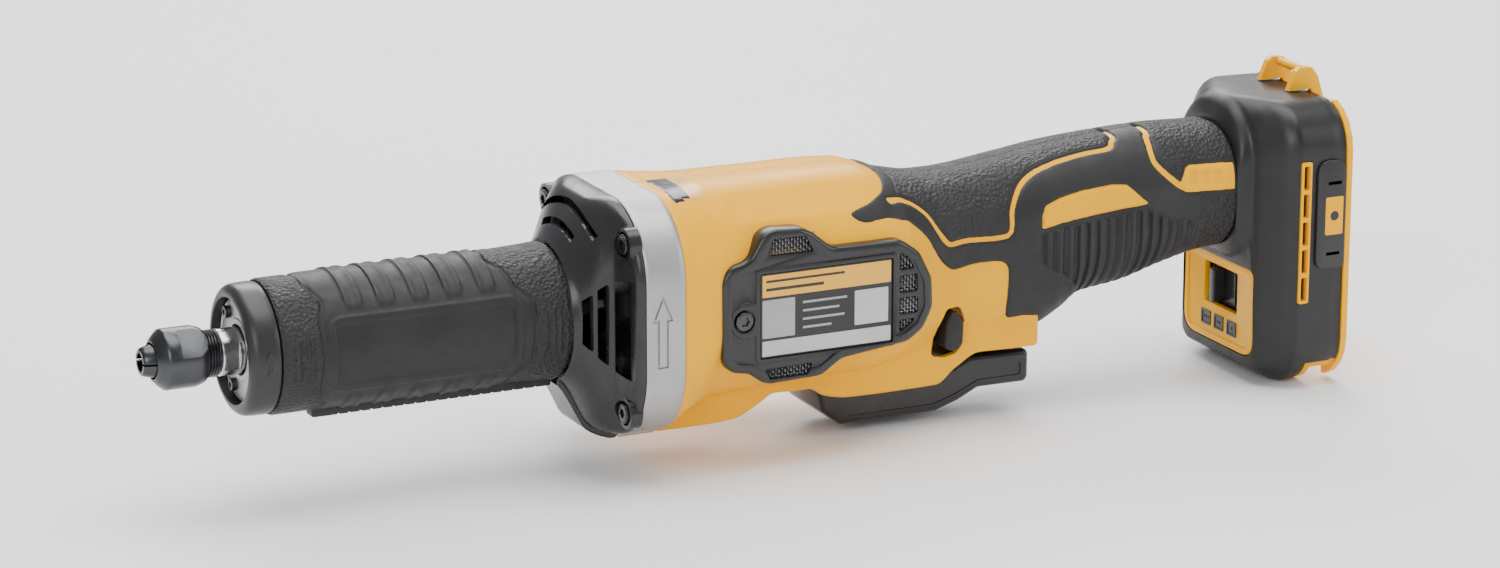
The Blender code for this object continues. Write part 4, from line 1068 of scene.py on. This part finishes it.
def cut_openings(made, side):
    """Opening round the lock-off button."""
    outline = rounded([(243.4, -29.5), (245.2, -19.0), (248.6, -11.8), (254.0, -11.4), (256.6, -17.0),
                       (256.4, -26.6), (253.6, -29.6), (249.0, -30.4)], 2.4, 6)
    low, high = span(side, 8.0, 40.0)
    return combined(made, [prism("opening", outline, "Y", low, high, YELLOW)])


PATCH_CELLS = ((348.0, 21.6), (361.2, 21.2), (361.2, 26.6), (348.0, 27.2))
CAP_LINE = ((229.0, 48.0), (230.4, 38.6), (231.6, 35.6), (228.6, 32.4), (225.4, 31.2))


def build_housing(side, word):
    """Yellow housing: motor end with its skirt, and the handle core below the rubber."""
    motor_x = np.concatenate((np.arange(BODY_FRONT, 286.8, 1.0), [286.9, BODY_REAR]))
    motor = Skin(HOUSING, motor_x, 96)
    edge = -0.4 * ramp(motor.x, 139.2, BODY_FRONT) - 0.4 * ramp(motor.x, 286.5, BODY_REAR)
    step = -0.25 * ramp(0.5 - abs(motor.x - 143.6), 0.0, 0.3)
    inside_skin = Skin(thinner(HOUSING, 2.4), motor_x, 96)
    shell = motor.shell("motor_shell", side, edge + facet(motor) + step, inside_skin, YELLOW)
    low, high = span(side, 10.0, 44.0)
    rear_low, rear_high = span(side, 34.3, 44.0)
    combined(shell, [block("intake", (173.0, low, -18.0), (212.0, high, 18.0), YELLOW),
                     block("rear_intake", (211.0, rear_low, -15.0), (230.6, rear_high, 18.0), YELLOW)])
    cut_openings(shell, side)
    handle = Skin(HANDLE, np.arange(206.0, 375.9, 0.8), 120)
    panel = depth_inside(handle.x, handle.s, handle.across(SIDE_PANEL))
    rise = np.where(handle.x > 222.0, proud(handle.x) - 0.45, -0.6)
    rise = rise + 0.75 * ramp(panel, 0.2, 1.1)
    field = depth_inside(handle.x, handle.s, handle.across(rounded(RIB_FIELD, 1.0)))
    rise = rise - 1.0 * ramp(field, 0.6, 1.6)
    patch = depth_inside(handle.x, handle.s, handle.across(rounded(PATCH, 1.2)))
    cells = depth_inside(handle.x, handle.s, handle.across(PATCH_CELLS))
    rise = rise + 0.6 * ramp(patch, 0.0, 0.9)
    rise = rise - 0.8 * ramp(cells, -0.1, 0.5) * ramp(abs((handle.x - 348.0) % 4.4 - 2.2), 0.2, 0.6)
    rise = rise - 1.6 * ramp(handle.x, 366.2, 367.2) - 1.2 * ramp(handle.x, 362.0, 364.0) * (patch < 0)
    core_inside = Skin(thinner(HANDLE, 2.0), handle.xs, 120)
    core = handle.shell("handle_shell", side, rise, core_inside, YELLOW)
    core_low, core_high = span(side, 34.1, 44.0)
    under_low, under_high = span(side, -2.0, 17.45)
    combined(core, [block("rear_pocket", (200.0, core_low, -15.0), (230.6, core_high, 18.0), YELLOW),
                    block("belly", (190.0, under_low, -60.0), (287.6, under_high, -20.0), YELLOW)])
    cut_openings(core, side)
    # Known fault: the right half's core comes out of these cuts without its mesh.
    made = joined("fine_housing_" + word, [shell, core])
    settle(made, "root", "yellow_plastic", "housing_" + word)


def build_sticker():
    """A plain two-tone sticker on the hump, beside the ring."""
    skin = Skin(HOUSING, np.arange(141.0, 158.2, 0.5), 96)
    for name, reach, material, level in (("top_sticker", 0.0, LABEL_YELLOW, 0.12),
                                         ("top_sticker_band", 7.0, LABEL_DARK, 0.2)):
        outline = [(142.0, -6.0), (156.6 - reach, -6.0), (156.6 - reach, 21.0), (142.0, 24.0)]
        spread = depth_inside(skin.x, skin.s, outline)
        made = skin.overlay(name, LEFT, np.where(spread > 0, level, -0.3), np.full(skin.x.shape, -0.3),
                            material)
        settle(made, "root", "label_foil")


def build_grip(side, word):
    """Rubber over the handle, with its channels, ribs and pebbled fields."""
    skin = Skin(HANDLE, np.arange(GRIP_FRONT, HANDLE_REAR + 0.01, 0.6), 150)
    x, s = skin.x, skin.s
    front = spline(skin.across(RUBBER_EDGE))
    behind = behind_line(x, s, front)
    height = proud(x) + 0.2
    line_a = distance_to_line(x, s, spline(skin.across(ACCENT_A)))
    line_b = distance_to_line(x, s, spline(skin.across(ACCENT_B)))
    panel = depth_inside(x, s, skin.across(rounded(SIDE_PANEL, 0.8)))
    patch = depth_inside(x, s, skin.across(rounded(PATCH, 1.2)))
    field = depth_inside(x, s, skin.across(rounded(RIB_FIELD, 1.0)))
    ribs = 0.5 - 0.5 * np.cos(2 * math.pi * (x - 286.0) / 4.3)
    height -= 1.1 * ramp(ribs, 0.35, 0.8) * ramp(field, 0.8, 1.8) * (patch < -1)
    height -= 0.35 * ramp(1.0 - abs(field), 0.0, 0.6)
    cap = distance_to_line(x, s, spline(skin.across(CAP_LINE)))
    height -= 0.35 * ramp(1.0 - cap, 0.2, 0.8)
    band = np.minimum(behind, np.minimum(line_a - 1.05, line_b - 1.2))
    band = np.minimum(band, -np.maximum(panel, patch) + 0.1)
    floor = proud(x) - 1.1
    rim = np.clip((band + 0.45) / 1.0, 0.0, 1.0)
    height = floor + (height - floor) * np.sqrt(rim)
    ends = np.minimum(x - GRIP_FRONT, HANDLE_REAR - x)
    height -= 0.5 * ramp(0.8 - ends, 0.0, 0.8)
    smooth_band = between_lines(x, s, skin)
    ahead = inside(x, s, np.vstack((spline(skin.across(CAP_LINE)), [(200.0, 40.0), (200.0, -9.0)])))
    pebbled = ramp(band, 0.8, 1.6) * (1 - smooth_band) * (field < -0.5) * ~ahead
    pebbled = pebbled * above_line(x, s, skin)
    keep = np.where(band > -0.45, height, floor)
    made = skin.overlay("fine_handle_grip_" + word, side, keep, floor, GRIP, {"grip": pebbled})
    cut_openings(made, side)
    settle(made, "root", "black_rubber", "handle_grip_" + word)


def behind_line(x, s, line):
    """Distance behind the rubber's front edge, negative ahead of it."""
    outline = np.vstack((line, [(400.0, line[-1, 1]), (400.0, -9.0), (line[0, 0], -9.0)]))
    away = distance_to_line(x, s, line)
    skirt = x > 287.8
    result = np.where(inside(x, s, outline) | skirt, away, -away)
    return np.where(skirt, np.maximum(result, 3.0), result)


def above_line(x, s, skin):
    """Ahead of the side panel only the rubber above the first yellow line is pebbled."""
    line = spline(skin.across(ACCENT_A))
    above = inside(x, s, np.vstack((line, [(200.0, -9.0), (line[0, 0], line[0, 1])])))
    return np.where(x < 338.0, above, True).astype(float)


def between_lines(x, s, skin):
    """The smooth band between the two yellow lines and round the yellow side panel."""
    first = spline(skin.across(ACCENT_A))
    second = spline(skin.across(ACCENT_B))
    outline = np.vstack((first[::-1], [(274.0, 60.0), (288.0, 60.0)],
                         skin.across([(304.0, -12.0), (352.0, 9.4), (352.0, 20.0)]), second[::-1]))
    return inside(x, s, outline).astype(float)


# ---------------------------------------------------------------- dust screens and labels

LABEL_RIM = ((166.0, -17.2), (220.2, -17.2), (220.2, 16.2), (166.0, 16.2))
WINDOWS = (
    ((170.6, 20.6), (188.6, 20.2), (184.8, 26.6), (172.4, 26.8)),
    ((169.4, -19.6), (188.4, -19.2), (185.8, -23.4), (171.2, -23.4)),
    ((221.4, 9.6), (227.6, 9.6), (224.6, 14.4), (221.4, 16.2)),
    ((221.4, 1.4), (228.8, 1.4), (228.6, 7.8), (221.4, 7.8)),
    ((221.4, -6.4), (228.8, -6.4), (228.8, -0.4), (221.4, -0.4)),
    ((221.4, -13.2), (224.8, -11.2), (228.4, -8.2), (221.4, -8.2)),
)


def build_screen(side, word):
    """Black screen frame with three meshed windows and the label's recess."""
    outline = rounded(SCREEN, 8.0, 6)
    low, high = span(side, 30.5, 38.7)
    screen = prism("fine_dust_screen_" + word, outline, "Y", low, high, SATIN_BLACK, 1.5)
    inner = offset_outline(SCREEN, -3.4)
    shelf_low, shelf_high = span(side, 38.0, 42.0)
    combined(screen, [prism("shelf", rounded(inner, 2.0, 4), "Y", shelf_low, shelf_high, SATIN_BLACK)])
    base_low, base_high = span(side, 37.0, 38.45)
    label_rim = prism("label_rim", rounded(LABEL_RIM, 1.6), "Y", base_low, base_high, SATIN_BLACK, 0.4)
    boss = cylinder("boss", "Y", (163.0, -1.4), 6.6, base_low, base_high, SATIN_BLACK, 48, 0.5)
    cutters = []
    deep_low, deep_high = span(side, 37.3, 42.0)
    cutters.append(prism("label_recess", rounded(rectangle((167.6, -15.8), (218.8, 14.6)), 0.8), "Y",
                         deep_low, deep_high, SATIN_BLACK))
    cutters.append(cylinder("screw_seat", "Y", (161.6, -1.4), 4.1, deep_low, deep_high, SATIN_BLACK))
    combined(screen, [label_rim, boss], 'UNION')
    window_low, window_high = span(side, 34.6, 44.0)
    for window in WINDOWS:
        cutters.append(prism("window", rounded(window, 1.0), "Y", window_low, window_high, SATIN_BLACK))
    combined(screen, cutters)
    settle(bevelled(screen, 0.35, 2, 45.0), "root", "black_plastic", "dust_screen_" + word)
    for i, window in enumerate(WINDOWS):
        mesh = woven_mesh("screen_mesh_%s_%d" % (word, i), window, side * 36.6)
        settle(mesh, "root", "cast_aluminium")
    build_label(side, word)
    low, high = span(side, 37.8, 38.95)
    head = cylinder("fine_screen_screw_" + word, "Y", (161.6, -1.4), 3.3, low, high, DARK_STEEL, 40, 0.4)
    socket(head, "Y", (161.6, -1.4), 1.9, span(side, 38.2, 40.0))
    settle(head, "root", "dark_steel", "screen_screw_" + word)


def woven_mesh(name, window, y):
    """Wires woven over and under one another, just larger than a window."""
    corners_now = np.asarray(window, float)
    low, high = corners_now.min(axis=0) - 0.6, corners_now.max(axis=0) + 0.6
    pitch, wire = 1.15, 0.24
    points, faces = [], []
    for axis in (0, 1):
        across = np.arange(low[1 - axis], high[1 - axis], pitch)
        for number, offset in enumerate(across):
            along = np.arange(low[axis], high[axis], pitch / 4)
            wave = 0.22 * np.cos(math.pi * (along - low[axis]) / pitch + math.pi * (number + axis))
            start = len(points)
            for a, lift in zip(along, wave):
                for du, dv in ((-wire, 0), (0, -wire), (wire, 0), (0, wire)):
                    pair = (a, offset + du) if axis == 0 else (offset + du, a)
                    points.append((pair[0], y + lift + dv, pair[1]))
            count = len(along)
            faces += [tuple(int(v) + start for v in q) for q in quads(count, 4, False, True)]
            faces += [tuple(start + i for i in range(4)),
                      tuple(start + 4 * (count - 1) + i for i in range(4))]
    return add_mesh(name, points, faces, MESH_METAL, sharp=60.0)


def build_label(side, word):
    """A rating plate in plain bands, with no lettering."""
    low, high = span(side, 37.4, 37.95)
    outline = rounded(rectangle((168.0, -15.4), (218.4, 14.2)), 0.8)
    plate = prism("fine_label_plate_" + word, outline, "Y", low, high, LABEL_DARK)
    settle(plate, "root", "label_foil", "label_plate_" + word)
    low, high = span(side, 37.8, 38.1)
    bands = [("band_yellow", (168.6, 6.0), (218.0, 13.8), LABEL_YELLOW),
             ("band_silver", (168.6, -15.0), (218.0, -9.6), LABEL_SILVER),
             ("band_grey", (168.6, -8.6), (181.0, 5.0), LABEL_GREY),
             ("band_mark", (204.0, -8.0), (217.0, 4.4), LABEL_SILVER)]
    for name, first, last, material in bands:
        piece = prism("%s_%s" % (name, word), rounded(rectangle(first, last), 0.4), "Y", low, high,
                      material)
        settle(piece, "root", "label_foil")
    low, high = span(side, 38.0, 38.2)
    for i, (first, last) in enumerate((((170.0, 11.2), (200.0, 12.0)), ((170.0, 8.2), (192.0, 9.2)),
                                       ((184.0, 2.4), (201.0, 3.2)), ((184.0, -0.6), (198.0, 0.2)),
                                       ((184.0, -3.6), (200.0, -2.8)), ((184.0, -6.6), (195.0, -5.8)))):
        piece = prism("line_%s_%d" % (word, i), rectangle(first, last), "Y", low, high,
                      LABEL_DARK if i < 2 else LABEL_GREY)
        settle(piece, "root", "label_foil")


# ---------------------------------------------------------------- switch and controls

PADDLE_PANEL = ((214.0, -41.0), (252.0, -41.0), (260.0, -37.6), (283.0, -37.4), (283.0, -42.4),
                (266.0, -42.4), (256.0, -46.6), (248.0, -49.0), (213.0, -49.0))


def build_switch():
    """Paddle lever on its pin, and the lock-off button."""
    outline = rounded(PADDLE, 2.4, 6)
    lever = prism("fine_paddle_lever", outline, "Y", -14.6, 14.6, PADDLE_BLACK, 1.9)
    for side in SIDES_Y:
        low, high = span(side, 14.2, 16.0)
        combined(lever, [prism("paddle_side", rounded(PADDLE_PANEL, 1.5), "Y", low, high, PADDLE_BLACK)])
    bore = cylinder("paddle_bore", "Y", (207.0, -37.5), 2.3, -20, 20, PADDLE_BLACK)
    combined(lever, [bore])
    settle(lever, "paddle", "black_plastic", "paddle_lever")
    outline = rounded([(247.6, -25.6), (249.6, -27.2), (252.6, -27.2), (254.8, -24.6), (255.0, -17.6),
                       (252.6, -13.4), (250.4, -13.4), (248.2, -16.5)], 0.9, 4)
    button = prism("fine_lock_off_button", outline, "Y", -23.5, 17.2, GRIP, 1.5)
    settle(button, "lock_off_button", "black_plastic", "lock_off_button")


# ---------------------------------------------------------------- the foot

PANEL_CORNERS = ((-24.3, -46.1, 8.0), (24.3, -46.1, 8.0), (24.3, -12.7, 3.0), (-24.3, -12.7, 3.0))
PANEL_STRAIGHT = tuple(corner[:2] for corner in PANEL_CORNERS)


def make_foot():
    """Black foot: a rounded head that flares into the battery seat."""
    xs = np.concatenate((np.arange(367.4, 374.2, 0.5), np.arange(374.4, 386.0, 0.8),
                         np.arange(386.0, 403.6, 1.6), [403.6, 404.0]))
    skin = Skin(FOOT, xs)
    edge = -0.7 * ramp(skin.x, 368.4, 367.4) - 0.3 * ramp(skin.x, 403.4, 404.0)
    groove = -0.45 * ramp(0.7 - abs(skin.x - 401.6), 0.0, 0.5)
    inner = Skin(FOOT_INSIDE, np.array([367.4, 372.0, 376.2, 376.6, 379.0, 382.0, 387.0, 395.0, 404.0]))
    made = ring_shell("fine_foot_housing", skin, edge + groove, inner, FOOT_BLACK)
    hole = rounded([(y * 1.012, z - 0.3 if z < -30 else z + 0.3, r) for y, z, r in PANEL_CORNERS], 3.0)
    cutters = [prism("panel_hole", hole, "X", 370.0, 379.0, FOOT_BLACK),
               block("channel", (390.0, -34.4, -60.0), (410.0, 34.4, -38.0), FOOT_BLACK)]
    for side in SIDES_Y:
        low, high = span(side, 30.0, 40.0)
        slot = rounded(rectangle((385.0, -23.6), (389.8, 29.9)), 1.0)
        cutters.append(prism("vent_slot", slot, "Y", low, high, FOOT_BLACK))
    combined(made, cutters)
    settle(made, "root", "black_plastic", "foot_housing")
    for side, word in SIDES:
        make_vent(side, word)


def make_vent(side, word):
    """Yellow insert with five cells, let into the foot's side."""
    low, high = span(side, 34.3, 36.9)
    outline = rounded(rectangle((385.3, -23.3), (389.5, 29.6)), 0.9)
    insert = prism("fine_foot_vent_" + word, outline, "Y", low, high, YELLOW)
    low, high = span(side, 30.0, 40.0)
    cells = [rectangle((386.2, -22.3 + 10.4 * i), (388.7, -13.5 + 10.4 * i)) for i in range(5)]
    cutters = [prism("gap", rounded(cell, 0.5), "Y", low, high, YELLOW) for cell in cells]
    settle(bevelled(combined(insert, cutters), 0.2, 2), "root", "yellow_plastic", "foot_vent_" + word)


def make_panel():
    """Yellow speed panel with its window, slider and three marks."""
    outline = rounded(PANEL_CORNERS, 3.0)
    panel = prism("fine_speed_panel", outline, "X", PANEL_X, 377.0, YELLOW, 0.5)
    step = prism("step", rounded(offset_outline(PANEL_STRAIGHT, -2.6), 4.0), "X", 370.0, 374.6, YELLOW)
    window = prism("window", rounded(rectangle((-12.0, -32.3), (11.0, -16.9)), 1.0), "X", 370.0, 380.0,
                   YELLOW)
    combined(panel, [step, window])
    settle(bevelled(panel, 0.25, 2, 45.0), "root", "yellow_plastic", "speed_panel")
    outline = rounded(rectangle((-12.6, -33.2), (21.6, -16.0)), 0.8)
    plate = prism("slider_plate", outline, "X", 377.7, 378.9, SATIN_BLACK, 0.2)
    ridge = prism("ridge", rounded(rectangle((1.4, -31.2), (4.6, -18.0)), 1.2), "X", 372.6, 378.0,
                  SATIN_BLACK, 0.5)
    ribs = [prism("rib", rounded(rectangle((y, -31.0), (y + 0.9, -18.2)), 0.3), "X", 377.2, 378.0,
                  SATIN_BLACK) for y in (-9.0, -6.4, 8.4)]
    slider = joined("fine_speed_slider", [plate, ridge] + ribs)
    settle(slider, "speed_slider", "black_plastic", "speed_slider")
    for i, y in enumerate((-9.0, 0.0, 9.0)):
        make_dial_mark(i, y)


def make_dial_mark(number, y):
    """A small framed box with one to three dots for the speed step."""
    outer = prism("mark", rounded(rectangle((y - 3.2, -41.2), (y + 3.2, -35.6)), 0.5), "X",
                  374.2, 375.0, SATIN_BLACK)
    inner = prism("mark_core", rounded(rectangle((y - 2.5, -40.5), (y + 2.5, -36.3)), 0.4), "X",
                  373.0, 374.45, SATIN_BLACK)
    made = combined(outer, [inner])
    places = [(y - 0.75 * number + 1.5 * i, -38.4) for i in range(number + 1)]
    dots = [cylinder("dot", "X", place, 0.42, 374.2, 374.9, SATIN_BLACK, 16) for place in places]
    settle(joined("speed_mark_%d" % (number + 1), [made] + dots), "root", "black_plastic")


def make_rear():
    """The battery plate with its ears, and the bar between them."""
    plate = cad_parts["battery_plate"]
    step = plate.modifiers.new("rounded_edges", 'BEVEL')
    step.width = 0.0004
    step.segments = 2
    step.limit_method = 'ANGLE'
    step.angle_limit = math.radians(40)
    bar = cylinder("fine_lanyard_bar", "Y", (402.6, 56.2), 1.6, -8.1, 8.1, YELLOW, 32, 0.2)
    settle(bar, "root", "yellow_plastic", "lanyard_bar")
    outline = rounded([(391.8, -11.0, 4.0), (403.8, -11.0, 2.0), (403.8, 29.6, 5.4), (391.8, 29.6, 5.4)],
                      4.0, 8)
    cover = prism("fine_tag_cover", outline, "Y", -37.7, -36.0, CAP_BLACK, 0.6)
    settle(cover, "root", "black_rubber", "tag_cover")
    outline = rounded(rectangle((395.2, 1.7), (402.6, 15.8)), 0.7)
    mark = prism("tag_mark", outline, "Y", -37.72, -37.2, YELLOW)
    hole = cylinder("tag_hole", "Y", (399.0, 8.7), 1.8, -39.0, -36.0, YELLOW, 32)
    combined(mark, [hole])
    settle(mark, "root", "yellow_plastic")
    for i, z in enumerate((-6.0, 20.4)):
        line = prism("tag_line_%d" % i, rounded(rectangle((396.0, z), (401.6, z + 1.2)), 0.3), "Y",
                     -37.7, -37.3, SATIN_BLACK)
        settle(line, "root", "black_rubber")


# ---------------------------------------------------------------- what stays as packed

INSIDE_FINISHES = (
    ("winding", COPPER.material), ("contact_blade", BRASS),
    ("board", BOARD.material), ("stator", LAMINATION.material),
    ("rotor_core", LAMINATION.material), ("bearing", STEEL),
    ("battery_plate", YELLOW), ("motor_end_cap", BLACK),
    ("fan", BLACK), ("coupling", DARK_STEEL),
    ("shaft", STEEL), ("pin", STEEL),
    ("nose_tube", ALUMINIUM),
)


def finish_inside():
    """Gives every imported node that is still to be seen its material."""
    for name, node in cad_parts.items():
        chosen = BLACK
        for word, material in INSIDE_FINISHES:
            if word in name:
                chosen = material
                break
        node.data.materials.clear()
        node.data.materials.append(chosen)


def build_scene():
    """Every piece, in a fixed order."""
    place_camera()
    light_and_floor()
    finish_inside()
    make_spindle()
    make_collet()
    make_nut()
    make_nose_cap()
    make_retainer()
    make_boot()
    make_cover()
    make_cover_screws()
    make_ring()
    for side, word in SIDES:
        build_housing(side, word)
        build_grip(side, word)
        build_screen(side, word)
    build_sticker()
    build_switch()
    make_foot()
    make_panel()
    make_rear()


build_scene()
